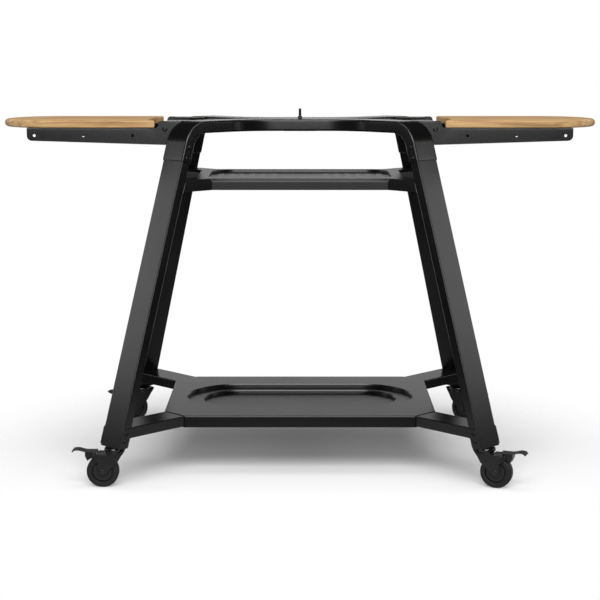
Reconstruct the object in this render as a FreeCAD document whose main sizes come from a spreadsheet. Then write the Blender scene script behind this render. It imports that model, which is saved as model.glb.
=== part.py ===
import FreeCAD, Part
import math
import os
import Sketcher

# Outdoor pizza oven table: two bent tube hoops on four splayed legs, with two pressed
# steel shelves, two wooden side boards and four braked castors.
# Frame: floor at Z = 0, +X to the right board, -Y to the front.

os.makedirs("parts", exist_ok=True)
doc = FreeCAD.newDocument("oven_table")
sizes = doc.addObject("Spreadsheet::Sheet", "Sizes")

DRIVING = {
    "top_height": 840, "hoop_width": 73.2, "hoop_depth": 28, "hoop_wall": 1.9, "hoop_corner": 4.5,
    "plan_radius": 195, "shoulder_radius": 54, "sleeve_end": 746, "hoop_gap": 0,
    "leg_width": 69, "leg_depth": 23.8, "leg_wall": 1.8, "leg_corner": 2.8,
    "leg_tilt": 17.2, "foot_x": 433, "foot_y": 335, "foot_height": 95, "leg_insert": 43,
    "plug_height": 44, "plug_width": 65, "plug_depth": 19.8, "plug_corner": 1.2,
    "stem_radius": 5, "stem_top": 108.5, "screw_radius": 3, "screw_clearance": 0.1,
    "screw_head_ratio": 1.9, "screw_head_height": 2.8,
    "sheet_metal": 2, "mid_top": 703.5, "mid_flange": 27, "mid_half_x": 256, "mid_half_y": 158,
    "mid_recess_x": 222, "mid_recess_y": 140, "mid_recess_corner": 60, "mid_recess_depth": 7.5,
    "rib_width": 11, "rib_length": 152, "rib_height": 1.6, "rib_pitch": 26.5, "rib_first": 65.3,
    "rib_count": 6,
    "base_top": 143, "base_skirt": 28, "base_half_x": 328, "base_half_y": 231, "base_chamfer": 52,
    "tray_outer": 138, "tray_step": 42, "tray_centre": 146, "tray_first": 8.5, "tray_second": 7.5,
    "tray_hole": 3, "arm_top": 142, "arm_depth": 24.5, "ear_top": 139.5,
    "board_thick": 18, "board_half_y": 133, "board_inner": 344.8, "board_outer": 724.4,
    "board_edge": 4, "web_face": 131, "web_thick": 2.5, "web_outer": 651.2,
    "web_raised": 330, "web_end_low": 791.5, "web_root_low": 781, "hang_hole": 3.5,
    "hang_first": 633.5, "hang_pitch": 116.9, "hang_height": 804, "seat_flange": 30,
    "top_flange": 45, "tab_length": 60, "tie_x": 322.5, "tie_height": 819,
    "tie_radius": 6, "wheel_radius": 37.5, "tyre_width": 24, "hub_radius": 25, "trail": 26,
    "fork_inner": 14.5, "fork_plate": 2.4, "crown_low": 76.8, "crown_high": 79,
    "housing_radius": 19, "housing_top": 83.6, "cup_radius": 22.5, "axle_radius": 4,
    "running_fit": 0.08, "pivot_x": 47, "pivot_z": 75, "pivot_radius": 2.5, "blade_width": 26,
    "blade_low": 84.1, "blade_thick": 2.2, "stud_radius": 4, "stud_tip_radius": 3.2,
    "stud_top": 864, "nut_height": 5.5, "collar_radius": 5.15,
}
for row, (word, number) in enumerate(DRIVING.items(), start=1):
    sizes.set("A%d" % row, word.replace("_", " "))
    sizes.set("B%d" % row, str(number))
    sizes.setAlias("B%d" % row, word)
doc.recompute()


def size(word):
    return float(getattr(sizes, word))


def vec(x, y, z=0.0):
    return FreeCAD.Vector(x, y, z)


def bind(piece, **cells):
    for prop, expression in cells.items():
        piece.setExpression(prop, expression)
    return piece


def frame_at(place, x_axis, y_axis, z_axis):
    return FreeCAD.Placement(place, FreeCAD.Rotation(x_axis, y_axis, z_axis, "ZXY"))


def box(name, length, width, height, placement):
    piece = doc.addObject("Part::Box", name)
    for prop, amount in (("Length", length), ("Width", width), ("Height", height)):
        if isinstance(amount, str):
            piece.setExpression(prop, amount)
        else:
            setattr(piece, prop, amount)
    piece.Placement = placement
    return piece


def rod(name, radius, height, place, direction):
    piece = doc.addObject("Part::Cylinder", name)
    piece.setExpression("Radius", radius)
    if isinstance(height, str):
        piece.setExpression("Height", height)
    else:
        piece.Height = height
    piece.Placement = FreeCAD.Placement(place, FreeCAD.Rotation(vec(0, 0, 1), direction))
    return piece


def fuse(name, pieces, refine=True):
    piece = doc.addObject("Part::MultiFuse", name)
    piece.Shapes = pieces
    piece.Refine = refine
    return piece


def cut(name, base, tools):
    tool = tools[0] if len(tools) == 1 else fuse(name + "_tools", tools, False)
    piece = doc.addObject("Part::Cut", name)
    piece.Base = base
    piece.Tool = tool
    return piece


def mirror(name, source, normal):
    piece = doc.addObject("Part::Mirroring", name)
    piece.Source = source
    piece.Normal = normal
    return piece


def extrude(name, profile, length, direction=None):
    piece = doc.addObject("Part::Extrusion", name)
    piece.Base = profile
    piece.Solid = True
    if direction is None:
        piece.DirMode = "Normal"
    else:
        piece.DirMode = "Custom"
        piece.Dir = direction
    if isinstance(length, str):
        piece.setExpression("LengthFwd", length)
    else:
        piece.LengthFwd = length
    return piece


def revolve(name, profile, place, axis, angle):
    piece = doc.addObject("Part::Revolution", name)
    piece.Source = profile
    piece.Base = place
    piece.Axis = axis
    piece.Angle = angle
    piece.Solid = True
    return piece


def rounded_loop(sketch, tag, word, inset):
    # One rounded rectangle about the sketch origin, bound to the sheet by named dimensions
    shrink = inset * size(word + "_wall")
    x = size(word + "_width") / 2 - shrink
    y = size(word + "_depth") / 2 - shrink
    r = size(word + "_corner") - shrink
    arcs = []
    for k, (cx, cy) in enumerate(((x - r, y - r), (r - x, y - r), (r - x, r - y), (x - r, r - y))):
        circle = Part.Circle(vec(cx, cy), vec(0, 0, 1), r)
        arc = Part.ArcOfCircle(circle, k * math.pi / 2, (k + 1) * math.pi / 2)
        arcs.append(sketch.addGeometry(arc, False))
    ends = (((x - r, y), (r - x, y)), ((-x, y - r), (-x, r - y)),
            ((r - x, -y), (x - r, -y)), ((x, r - y), (x, y - r)))
    lines = [sketch.addGeometry(Part.LineSegment(vec(*a), vec(*b)), False) for a, b in ends]
    for k in range(4):
        sketch.addConstraint(Sketcher.Constraint("Tangent", arcs[k], 2, lines[k], 1))
        sketch.addConstraint(Sketcher.Constraint("Tangent", lines[k], 2, arcs[(k + 1) % 4], 1))
    for k in (1, 2, 3):
        sketch.addConstraint(Sketcher.Constraint("Equal", arcs[0], arcs[k]))
    sketch.addConstraint(Sketcher.Constraint("Horizontal", lines[0]))
    sketch.addConstraint(Sketcher.Constraint("Vertical", lines[1]))
    sketch.addConstraint(Sketcher.Constraint("Symmetric", arcs[0], 3, arcs[2], 3, -1, 1))
    wall = "%d * Sizes.%s_wall" % (inset, word)
    named = (
        ("width", Sketcher.Constraint("DistanceX", lines[1], 1, lines[3], 1, 2 * x),
         "Sizes.%s_width - 2 * %s" % (word, wall)),
        ("depth", Sketcher.Constraint("DistanceY", lines[2], 1, lines[0], 1, 2 * y),
         "Sizes.%s_depth - 2 * %s" % (word, wall)),
        ("corner", Sketcher.Constraint("Radius", arcs[0], r), "Sizes.%s_corner - %s" % (word, wall)),
    )
    for label, constraint, expression in named:
        index = sketch.addConstraint(constraint)
        sketch.renameConstraint(index, tag + "_" + label)
        sketch.setExpression("Constraints." + tag + "_" + label, expression)


def tube_profile(name, word, placement, hollow=True):
    profile = doc.addObject("Sketcher::SketchObject", name)
    rounded_loop(profile, "outer", word, 0)
    if hollow:
        rounded_loop(profile, "inner", word, 1)
    profile.Placement = placement
    return profile


def arc_through(a, middle, b):
    # Counter-clockwise sketch arc through three points, and whether it runs from b back to a
    curve = Part.Arc(a, middle, b).toShape().Curve
    centre, r = curve.Center, curve.Radius
    turn = (middle - a).cross(b - middle).z
    first, last = (a, b) if turn > 0 else (b, a)
    start = math.atan2(first.y - centre.y, first.x - centre.x)
    end = math.atan2(last.y - centre.y, last.x - centre.x)
    while end <= start:
        end += 2 * math.pi
    return Part.ArcOfCircle(Part.Circle(centre, vec(0, 0, 1), r), start, end), turn < 0


def outline(name, points, placement=FreeCAD.Placement()):
    # Closed outline; a point with a third value starts an arc through that middle point
    sketch = doc.addObject("Sketcher::SketchObject", name)
    count = len(points)
    backwards = []
    for k, start in enumerate(points):
        end = points[(k + 1) % count]
        a, b = vec(start[0], start[1]), vec(end[0], end[1])
        if len(start) > 2:
            arc, swapped = arc_through(a, vec(*start[2]), b)
            sketch.addGeometry(arc, False)
            backwards.append(swapped)
        else:
            sketch.addGeometry(Part.LineSegment(a, b), False)
            backwards.append(False)
    for k in range(count):
        following = (k + 1) % count
        tail = 1 if backwards[k] else 2
        lead = 2 if backwards[following] else 1
        sketch.addConstraint(Sketcher.Constraint("Coincident", k, tail, following, lead))
    sketch.Placement = placement
    return sketch


def round_loop(x, y, r):
    # Rounded rectangle as outline points
    d = r * (1 - math.sqrt(0.5))
    return [(x, y - r, (x - d, y - d)), (x - r, y), (r - x, y, (d - x, y - d)), (-x, y - r),
            (-x, r - y, (d - x, d - y)), (r - x, -y), (x - r, -y, (x - d, d - y)), (x, r - y)]


def soften(before, corner, after, r):
    # The two outline points that round a corner to radius r
    c = vec(*corner)
    back = (vec(*before) - c).normalize()
    ahead = (vec(*after) - c).normalize()
    half = math.acos(max(-1.0, min(1.0, back.dot(ahead)))) / 2
    run = r / math.tan(half)
    bisector = (back + ahead).normalize()
    middle = c + bisector * (r / math.sin(half) - r)
    first, second = c + back * run, c + ahead * run
    return [(first.x, first.y, (middle.x, middle.y)), (second.x, second.y)]


def compound(name, pieces, placement=None):
    piece = doc.addObject("Part::Compound", name)
    piece.Links = pieces
    if placement is not None:
        piece.Placement = placement
    return piece


def screw(name, seat, direction, length, radius="Sizes.screw_radius"):
    # Button-head screw whose head sits on the seat point and points along direction
    head = rod(name + "_head", radius + " * Sizes.screw_head_ratio", "Sizes.screw_head_height", seat, direction)
    shank = rod(name + "_shank", radius, length + 0.5, seat - direction * length, direction)
    return fuse(name, [head, shank])


def drill(name, start, direction, length, radius="Sizes.screw_radius + Sizes.screw_clearance"):
    return rod(name, radius, length, start, direction)


nodes = {}
X, Y, Z = vec(1, 0, 0), vec(0, 1, 0), vec(0, 0, 1)
QUADRANTS = ("rear_right", "rear_left", "front_right", "front_left")


def four(suffix, source):
    # The rear right piece and its three mirror images
    left = mirror("rear_left_" + suffix, source, X)
    made = {
        "rear_right": source,
        "rear_left": left,
        "front_right": mirror("front_right_" + suffix, source, Y),
        "front_left": mirror("front_left_" + suffix, left, Y),
    }
    return [made[q] for q in QUADRANTS]


# Leg line of the rear right quadrant: splayed along the 45 degree diagonal
tilt = math.radians(size("leg_tilt"))
diag = vec(1, 1, 0).normalize()
tang = vec(-1, 1, 0).normalize()
axis = (Z * math.cos(tilt) - diag * math.sin(tilt)).normalize()
radial = (diag * math.cos(tilt) + Z * math.sin(tilt)).normalize()
foot = vec(size("foot_x"), size("foot_y"), size("foot_height"))
track = size("foot_x") - size("foot_y")


def leg_point(height):
    return foot + axis * ((height - foot.z) / math.cos(tilt))


# Hoops: a rectangular tube bent flat to 45 degrees in plan and then down onto the leg line
rail_z = size("top_height") - size("hoop_depth") / 2
rail_y = size("hoop_width") / 2 + size("hoop_gap")
shoulder = leg_point(rail_z)
plan_tangent = size("plan_radius") * math.tan(math.radians(22.5))
bend_angle = 90 - size("leg_tilt")
bend_tangent = size("shoulder_radius") * math.tan(math.radians(bend_angle / 2))
plan_corner = vec(rail_y + track, rail_y, rail_z)
plan_start = plan_corner - X * plan_tangent
arm_start = plan_corner + diag * plan_tangent
arm_end = shoulder - diag * bend_tangent
sleeve_start = shoulder - axis * bend_tangent
sleeve_foot = leg_point(size("sleeve_end"))

centre_profile = tube_profile("centre_profile", "hoop", frame_at(vec(0, rail_y, rail_z), Y, Z, X))
plan_profile = tube_profile("plan_profile", "hoop", frame_at(plan_start, Y, Z, X))
arm_profile = tube_profile("arm_profile", "hoop", frame_at(arm_start, tang, Z, diag))
bend_profile = tube_profile("bend_profile", "hoop", frame_at(arm_end, tang, Z, diag))
sleeve_profile = tube_profile("sleeve_profile", "hoop", frame_at(sleeve_start, tang, radial, axis * -1))
hoop_pieces = [
    extrude("hoop_middle", centre_profile, plan_start.x),
    revolve("hoop_plan_bend", plan_profile, plan_start + Y * size("plan_radius"), Z, 45),
    extrude("hoop_arm", arm_profile, (arm_end - arm_start).Length),
    revolve("hoop_shoulder", bend_profile, arm_end - Z * size("shoulder_radius"), tang, bend_angle),
    extrude("hoop_sleeve", sleeve_profile, (sleeve_foot - sleeve_start).Length),
]
half_hoop = fuse("half_hoop", hoop_pieces)
other_half = mirror("other_half_hoop", half_hoop, X)
whole_hoop = fuse("whole_hoop", [half_hoop, other_half])

# Holes of one corner of the hoop: two leg screws across the sleeve, two bracket screws in the arm
joint_steps = (9.5, 36)
joint_places = [sleeve_foot + axis * step for step in joint_steps]
tab_places = [vec(0, 0, rail_z) + diag * s + vec(track / 2, -track / 2, 0) for s in (240, 266)]
corner_drills = []
for k, place in enumerate(joint_places):
    corner_drills.append(drill("joint_drill_%d" % k, place - tang * 45, tang, 90))
for k, place in enumerate(tab_places):
    corner_drills.append(drill("tab_drill_%d" % k, place - tang * 50, tang, 30))
corner_holes = compound("corner_holes", corner_drills)
other_holes = mirror("other_corner_holes", corner_holes, X)
stud_drill = drill("stud_drill", vec(0, 0, 786), Z, 70, "Sizes.stud_radius + 0.1")
nodes["rear_hoop"] = cut("rear_hoop", whole_hoop, [corner_holes, other_holes, stud_drill])
nodes["front_hoop"] = mirror("front_hoop", nodes["rear_hoop"], Y)

# Tie plate welded across the underside of both hoops, and the shouldered stud screwed down into it
tie_low = size("top_height") - size("hoop_depth") - 2.5
tie_plate = box("tie_plate_blank", 80, 50, 2.5, FreeCAD.Placement(vec(-40, -25, tie_low), FreeCAD.Rotation()))
tie_drill = drill("tie_drill", vec(0, 0, 796), Z, 30, "Sizes.stud_radius + 0.1")
nodes["hoop_tie_plate"] = cut("hoop_tie_plate", tie_plate, [tie_drill])
stud_seat = size("top_height") + size("nut_height")
stud_shank = rod("stud_shank", "Sizes.stud_radius", size("top_height") + 1 - tie_low, vec(0, 0, tie_low), Z)
stud_collar = doc.addObject("Part::Prism", "stud_collar")
stud_collar.Polygon = 6
bind(stud_collar, Circumradius="Sizes.collar_radius", Height="Sizes.nut_height")
stud_collar.Placement.Base = vec(0, 0, size("top_height"))
stud_pin = rod("stud_pin", "Sizes.stud_tip_radius", size("stud_top") - stud_seat, vec(0, 0, stud_seat - 1), Z)
stud_tip = doc.addObject("Part::Cone", "stud_tip")
bind(stud_tip, Radius1="Sizes.stud_tip_radius", Radius2="Sizes.stud_tip_radius - 1")
stud_tip.Height = 1
stud_tip.Placement.Base = vec(0, 0, size("stud_top") - 1)
nodes["locating_stud"] = fuse("locating_stud", [stud_shank, stud_collar, stud_pin, stud_tip])

# Legs: straight tubes pushed into the hoop sleeves and cut level at the foot
leg_top = sleeve_foot + axis * size("leg_insert")
leg_blank_start = foot - axis * 30
leg_profile = tube_profile("leg_profile", "leg", frame_at(leg_blank_start, tang, radial * -1, axis))
leg_blank = extrude("leg_blank", leg_profile, (leg_top - leg_blank_start).Length)
below_foot = box("below_foot", 200, 200, 60, FreeCAD.Placement(foot - vec(100, 100, 60), FreeCAD.Rotation()))
ear_bolt_places = [leg_point(z) for z in (129, 111)]
mid_bolt_height = size("mid_top") - 13
mid_bolt_places = [leg_point(mid_bolt_height) + tang * q for q in (-18, 18)]
leg_drills = [drill("leg_joint_drill_%d" % k, p - tang * 45, tang, 90) for k, p in enumerate(joint_places)]
ear_drills = []
for k, place in enumerate(ear_bolt_places):
    for side in (-1, 1):
        ear_drills.append(drill("ear_drill_%d_%d" % (k, side + 1), place + tang * (side * 40), tang * -side, 21))
leg_drills += ear_drills
leg_drills += [drill("mid_drill_%d" % k, p - radial * 20, radial, 14) for k, p in enumerate(mid_bolt_places)]
rear_right_leg = cut("rear_right_leg", leg_blank, [below_foot] + leg_drills)
for q, piece in zip(QUADRANTS, four("leg", rear_right_leg)):
    nodes[q + "_leg"] = piece

joint_screws = []
for k, place in enumerate(joint_places):
    for side in (-1, 1):
        seat = place + tang * (side * size("hoop_width") / 2)
        joint_screws.append(screw("joint_screw_%d_%d" % (k, side + 1), seat, tang * side, 12))
nodes["leg_joint_screws"] = compound("leg_joint_screws", four("joint_screws", compound("joint_screws", joint_screws)))

# Foot inserts: solid blocks inside the leg ends, bored for the castor stems
plug_points = round_loop(size("plug_width") / 2, size("plug_depth") / 2, size("plug_corner"))
plug_frame = frame_at(leg_blank_start, tang, radial * -1, axis)
plug_blank = extrude("plug_blank", outline("plug_outline", plug_points, plug_frame), "Sizes.plug_height + 30")
plug_level = box("plug_level", 200, 200, 60, FreeCAD.Placement(foot - vec(100, 100, 60), FreeCAD.Rotation()))
plug_bore = rod("plug_bore", "Sizes.stem_radius + 0.05", "Sizes.stem_top - Sizes.foot_height + 1.5", foot - Z, Z)
rear_right_insert = cut("rear_right_foot_insert", plug_blank, [plug_level, plug_bore] + ear_drills)
for q, piece in zip(QUADRANTS, four("foot_insert", rear_right_insert)):
    nodes[q + "_foot_insert"] = piece


def line_meet(gap, x=None, y=None):
    # Point of the line X - Y = gap at a given X or Y
    return (x, x - gap) if y is None else (y + gap, y)


def quadrant_loop(points):
    # Whole outline from the rear right quadrant, given from the +X side round to the +Y side
    loop = list(points)
    loop += [(-p[0], p[1]) for p in reversed(points)]
    loop += [(-p[0], -p[1]) for p in points]
    loop += [(p[0], -p[1]) for p in reversed(points)]
    return loop


def level(height):
    return FreeCAD.Placement(vec(0, 0, height), FreeCAD.Rotation())


def leg_block(name, near, far, half_width, low=-120, high=900):
    # Block in the leg's own frame, from near to far along the direction away from the stand
    place = frame_at(foot + axis * low - tang * half_width + radial * far, tang, radial * -1, axis)
    return box(name, 2 * half_width, far - near, high - low, place)


def all_round(name, piece):
    # The piece with its mirror images in the other three quadrants
    other = mirror(name + "_left", piece, X)
    pair = compound(name + "_pair", [piece, other])
    front = mirror(name + "_front", pair, Y)
    return [piece, other, front]


def round_edges(name, source, radius, test):
    # Rounds the edges of the recomputed source that the test picks
    doc.recompute()
    piece = doc.addObject("Part::Fillet", name)
    piece.Base = source
    picked = [k for k, edge in enumerate(source.Shape.Edges, start=1) if test(edge)]
    piece.Edges = [(k, radius, radius) for k in picked]
    return piece


def at_height(edge, height):
    return abs(edge.BoundBox.ZMin - height) < 0.01 and abs(edge.BoundBox.ZMax - height) < 0.01


sheet = size("sheet_metal")
leg_face = size("leg_depth") / 2

# Mid shelf: one pressed sheet with four 45 degree wings whose end flanges lie on the legs
mid_top = size("mid_top")
mid_low = mid_top - size("mid_flange")


def mid_skin(tag, inset, low, high, radius):
    wing = 33 * math.sqrt(2) - inset * math.sqrt(2)
    edge_x, edge_y = size("mid_half_x") - inset, size("mid_half_y") - inset
    reach = diag * 390
    corner = [line_meet(track + wing, x=edge_x),
              (reach.x + track / 2 + wing / 2, reach.y - track / 2 - wing / 2),
              (reach.x + track / 2 - wing / 2, reach.y - track / 2 + wing / 2),
              line_meet(track - wing, y=edge_y)]
    plate = extrude(tag + "_plate", outline(tag + "_outline", quadrant_loop(corner), level(low)), high - low)
    trims = all_round(tag + "_trim", leg_block(tag + "_leg_trim", -leg_face - inset, 200, 60))
    trimmed = cut(tag + "_trimmed", plate, trims)
    return round_edges(tag, trimmed, radius, lambda edge: at_height(edge, high))


mid_outer = mid_skin("mid_outer", 0, mid_low, mid_top, 6)
mid_inner = mid_skin("mid_inner", sheet, mid_low - 1, mid_top - sheet, 4)
mid_floor = mid_top - size("mid_recess_depth")
pan_points = [size("mid_recess_x"), size("mid_recess_y"), size("mid_recess_corner")]
mid_pit = extrude("mid_pit", outline("mid_pit_outline", round_loop(*pan_points), level(mid_floor)), 20)
pan_outline = outline("mid_pan_outline", round_loop(*[n + sheet for n in pan_points]), level(mid_floor - sheet))
mid_pan_block = extrude("mid_pan_block", pan_outline, "Sizes.mid_recess_depth + Sizes.sheet_metal")
mid_pan = cut("mid_pan", mid_pan_block, [mid_pit])
mid_shell = cut("mid_shell", mid_outer, [mid_inner])
mid_open = cut("mid_open", mid_shell, [mid_pit])


def rib_set(tag, inset, low, tall):
    # The raised ribs of the shelf floor as one group
    ribs = []
    reach = size("rib_length") / 2 - size("rib_width") / 2
    r = size("rib_width") / 2 - inset
    for side in (-1, 1):
        for k in range(int(size("rib_count"))):
            x = side * (size("rib_first") + k * size("rib_pitch"))
            points = [(x + r, -reach), (x + r, reach, (x, reach + r)), (x - r, reach), (x - r, -reach, (x, -reach - r))]
            name = "%s_%d_%d" % (tag, side + 1, k)
            ribs.append(extrude(name, outline(name + "_outline", points, level(low)), tall))
    return ribs


rib_top = mid_floor + size("rib_height")
rib_blanks = rib_set("rib", 0, mid_floor - sheet, rib_top - mid_floor + sheet)
rib_hollows = rib_set("rib_hollow", sheet, mid_floor - sheet - 1, rib_top - mid_floor + 1)
mid_whole = fuse("mid_whole", [mid_open, mid_pan] + rib_blanks)
mid_drills = [drill("mid_flange_drill_%d" % k, p - radial * 20, radial, 14) for k, p in enumerate(mid_bolt_places)]
mid_tools = all_round("mid_shelf_drills", compound("mid_shelf_drill", mid_drills))
nodes["mid_shelf"] = cut("mid_shelf", mid_whole, rib_hollows + mid_tools)
mid_screws = []
for k, place in enumerate(mid_bolt_places):
    seat = place - radial * (leg_face + sheet)
    mid_screws.append(screw("mid_screw_%d" % k, seat, radial * -1, 7))
nodes["mid_shelf_screws"] = compound("mid_shelf_screws", four("mid_screws", compound("mid_screws", mid_screws)))

# Bottom shelf: pressed sheet with cut corners, a deep skirt and a stepped round-ended recess
base_top = size("base_top")
base_low = base_top - size("base_skirt")
chamfer_s = (size("base_half_x") + size("base_half_y") - size("base_chamfer")) / math.sqrt(2)


def base_skin(tag, inset, low, high, radius):
    edge_x, edge_y = size("base_half_x") - inset, size("base_half_y") - inset
    total = (chamfer_s - inset) * math.sqrt(2)
    corner = [(edge_x, total - edge_x), (total - edge_y, edge_y)]
    plate = extrude(tag + "_plate", outline(tag + "_outline", quadrant_loop(corner), level(low)), high - low)
    return round_edges(tag, plate, radius, lambda edge: at_height(edge, high))


def stadium(r):
    c = size("tray_centre")
    return [(c, -r, (c + r, 0)), (c, r), (-c, r, (-c - r, 0)), (-c, -r)]


first_floor = base_top - size("tray_first")
second_floor = first_floor - size("tray_second")
outer_r = size("tray_outer")
inner_r = outer_r - size("tray_step")
base_shell = cut("base_shell", base_skin("base_outer", 0, base_low, base_top, 3),
                 [base_skin("base_inner", sheet, base_low - 1, base_top - sheet, 1.2)])
first_pit = extrude("first_pit", outline("first_pit_outline", stadium(outer_r), level(first_floor)), 20)
second_pit = extrude("second_pit", outline("second_pit_outline", stadium(inner_r), level(second_floor)), 20)
first_pan = extrude("first_pan", outline("first_pan_outline", stadium(outer_r + sheet), level(first_floor - sheet)),
                    "Sizes.tray_first + Sizes.sheet_metal")
second_pan = extrude("second_pan", outline("second_pan_outline", stadium(inner_r + sheet), level(second_floor - sheet)),
                     "Sizes.tray_second + Sizes.sheet_metal")
base_whole = fuse("base_whole", [base_shell, first_pan, second_pan])
base_screw_places = [diag * chamfer_s + vec(track / 2, -track / 2, 129) + tang * q for q in (-22, 22)]
base_drills = [drill("base_drill_%d" % k, p - diag * 10, diag, 20) for k, p in enumerate(base_screw_places)]
tray_drills = [drill("tray_drill_%d" % k, vec(side * size("tray_centre"), 0, 100), Z, 60, "Sizes.tray_hole")
               for k, side in enumerate((-1, 1))]
base_tools = all_round("base_shelf_drills", compound("base_shelf_drill", base_drills))
nodes["bottom_shelf"] = cut("bottom_shelf", base_whole, [first_pit, second_pit] + base_tools + tray_drills)

# Base arms: inverted channels from the shelf corners, their side walls running on as ears over the legs
arm_half = size("leg_width") / 2 + sheet
arm_origin = vec(track / 2, -track / 2, 0) - tang * arm_half
arm_frame = frame_at(arm_origin, diag, Z, tang * -1)
arm_frame.Base = vec(track / 2, -track / 2, 0) + tang * arm_half


def leg_side(height, face):
    # Distance along the diagonal of the leg's wide face at a height
    return (foot.x + foot.y) / math.sqrt(2) - (height - foot.z) * math.tan(tilt) + face / math.cos(tilt)


arm_top = size("arm_top")
arm_low = arm_top - size("arm_depth")
ear_top = size("ear_top")
ear_bottom = (leg_side(foot.z, -leg_face), foot.z)
ear_corner = (leg_side(foot.z, leg_face), foot.z)
ear_peak = (leg_side(ear_top, leg_face), ear_top)
ear_inner = (leg_side(ear_top, -leg_face), ear_top)
arm_points = [(chamfer_s, arm_low), (leg_side(arm_low, -leg_face), arm_low), ear_bottom]
arm_points += soften(ear_bottom, ear_corner, ear_peak, 5)
arm_points += soften(ear_corner, ear_peak, ear_inner, 6)
arm_points += [ear_inner, (leg_side(arm_top, -leg_face), arm_top), (chamfer_s, arm_top)]
arm_block = extrude("arm_block", outline("arm_outline", arm_points, arm_frame), "Sizes.leg_width + 2 * Sizes.sheet_metal")


def arm_top_edge(edge):
    return at_height(edge, arm_top) and edge.Length > 100


arm_rounded = round_edges("arm_rounded", arm_block, 2.5, arm_top_edge)
hollow_place = frame_at(vec(track / 2, -track / 2, 60) + diag * (chamfer_s + sheet) - tang * (arm_half - sheet),
                        diag, tang, Z)
arm_hollow = box("arm_hollow", 260, "Sizes.leg_width", arm_top - sheet - 60, hollow_place)
arm_leg_room = leg_block("arm_leg_room", -leg_face, 60, size("leg_width") / 2, -60, 120)
arm_drills = [drill("arm_drill_%d" % k, p - diag * 10, diag, 20) for k, p in enumerate(base_screw_places)]
rear_right_arm = cut("rear_right_base_arm", arm_rounded, [arm_hollow, arm_leg_room] + arm_drills + ear_drills)
for q, piece in zip(QUADRANTS, four("base_arm", rear_right_arm)):
    nodes[q + "_base_arm"] = piece
ear_screws = []
for k, place in enumerate(ear_bolt_places):
    for side in (-1, 1):
        seat = place + tang * (side * arm_half)
        ear_screws.append(screw("ear_screw_%d_%d" % (k, side + 1), seat, tang * side, 14))
nodes["base_arm_screws"] = compound("base_arm_screws", four("ear_screws", compound("ear_screws", ear_screws)))
shelf_screws = []
for k, place in enumerate(base_screw_places):
    shelf_screws.append(screw("shelf_screw_%d" % k, place + diag * sheet, diag, 8))
nodes["base_shelf_screws"] = compound("base_shelf_screws", four("shelf_screws", compound("shelf_screws", shelf_screws)))

# Side boards: solid wood with a round outer end and a hollow inner end that clears the oven
board_low = size("top_height") - size("board_thick")
half_y = size("board_half_y")
inner_x = size("board_inner")
outer_x = size("board_outer")
board_points = [
    (inner_x, -half_y), (outer_x - half_y, -half_y, (outer_x, 0)), (outer_x - half_y, half_y),
    (inner_x, half_y, (math.hypot(inner_x, half_y), 0)),
]
board_blank = extrude("board_blank", outline("board_outline", board_points, level(board_low)), "Sizes.board_thick")
board_horns = round_edges("board_horns", board_blank, 4,
                          lambda edge: edge.BoundBox.XMax < inner_x + 1 and edge.BoundBox.YLength < 1)
board_rounded = round_edges("board_rounded", board_horns, size("board_edge"),
                            lambda edge: at_height(edge, board_low) or at_height(edge, board_low + size("board_thick")))

# Brackets: bent sheet angles under each board edge, bolted to the sides of the hoop arms
face = size("web_face")
thick = size("web_thick")
web_back = face - thick
tube_side = track + size("hoop_width") / math.sqrt(2)
web_inner = face + tube_side
web_outer = size("web_outer")
raised = size("top_height") - 1
rise_x = size("web_raised")
low_end, low_root = size("web_end_low"), size("web_root_low")
web_points = [(web_inner, low_root)]
web_points += soften((web_inner, low_root), (328, low_root + 1), (web_outer, low_end + 0.5), 60)
web_points += soften((328, low_root + 1), (web_outer, low_end + 0.5), (web_outer, board_low), 12)
web_points += [(web_outer, board_low)]
web_points += soften((web_outer, board_low), (rise_x + 7.5, board_low), (rise_x + 7.5, raised), 8)
web_points += soften((rise_x + 7.5, board_low), (rise_x + 7.5, raised), (web_inner, raised), 8)
web_points += [(web_inner, raised)]
web_place = frame_at(vec(0, face, 0), X, Z, Y * -1)
web_blank = extrude("web_blank", outline("web_outline", web_points, web_place), "Sizes.web_thick")
seat_flange = box("seat_flange_blank", 280, "Sizes.seat_flange", "Sizes.web_thick",
                  FreeCAD.Placement(vec(360, face - size("seat_flange"), board_low - thick), FreeCAD.Rotation()))
flange_in = face - size("top_flange")
top_points = [(web_inner, face), (flange_in + tube_side, flange_in), (318, flange_in), (318, face)]
top_flange = extrude("top_flange_blank", outline("top_flange_outline", top_points, level(raised - thick)), "Sizes.web_thick")
tab_place = frame_at(vec(tube_side / 2, -tube_side / 2, raised - 23) + diag * 228, diag, tang, Z)
tab_place.Base = tab_place.Base - tang * thick
side_tab = box("side_tab_blank", "Sizes.tab_length", "Sizes.web_thick", 23, tab_place)
bracket_blank = fuse("bracket_blank", [web_blank, seat_flange, top_flange, side_tab])
hang_places = [size("hang_first") - k * size("hang_pitch") for k in range(3)]
bracket_drills = []
for k, x in enumerate(hang_places):
    hang_drill = drill("hang_drill_%d" % k, vec(x, face - 10, size("hang_height")), Y, 20, "Sizes.hang_hole")
    bracket_drills.append(hang_drill)
bracket_drills.append(drill("tie_end_drill", vec(size("tie_x"), face - 10, size("tie_height")), Y, 20))
for k, place in enumerate(tab_places):
    bracket_drills.append(drill("tab_hole_%d" % k, place - tang * 50, tang, 30))
board_screw_places = [vec(x, face - 18, board_low - thick) for x in (380, 500, 620)]
for k, place in enumerate(board_screw_places):
    bracket_drills.append(drill("board_hole_%d" % k, place - Z * 5, Z, 10, "2.1"))
rear_right_bracket = cut("rear_right_bracket", bracket_blank, bracket_drills)
for q, piece in zip(QUADRANTS, four("bracket", rear_right_bracket)):
    nodes[q + "_bracket"] = piece
tab_screws = []
for k, place in enumerate(tab_places):
    seat = place - tang * (size("hoop_width") / 2 + thick)
    tab_screws.append(screw("tab_screw_%d" % k, seat, tang * -1, 10))
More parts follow.
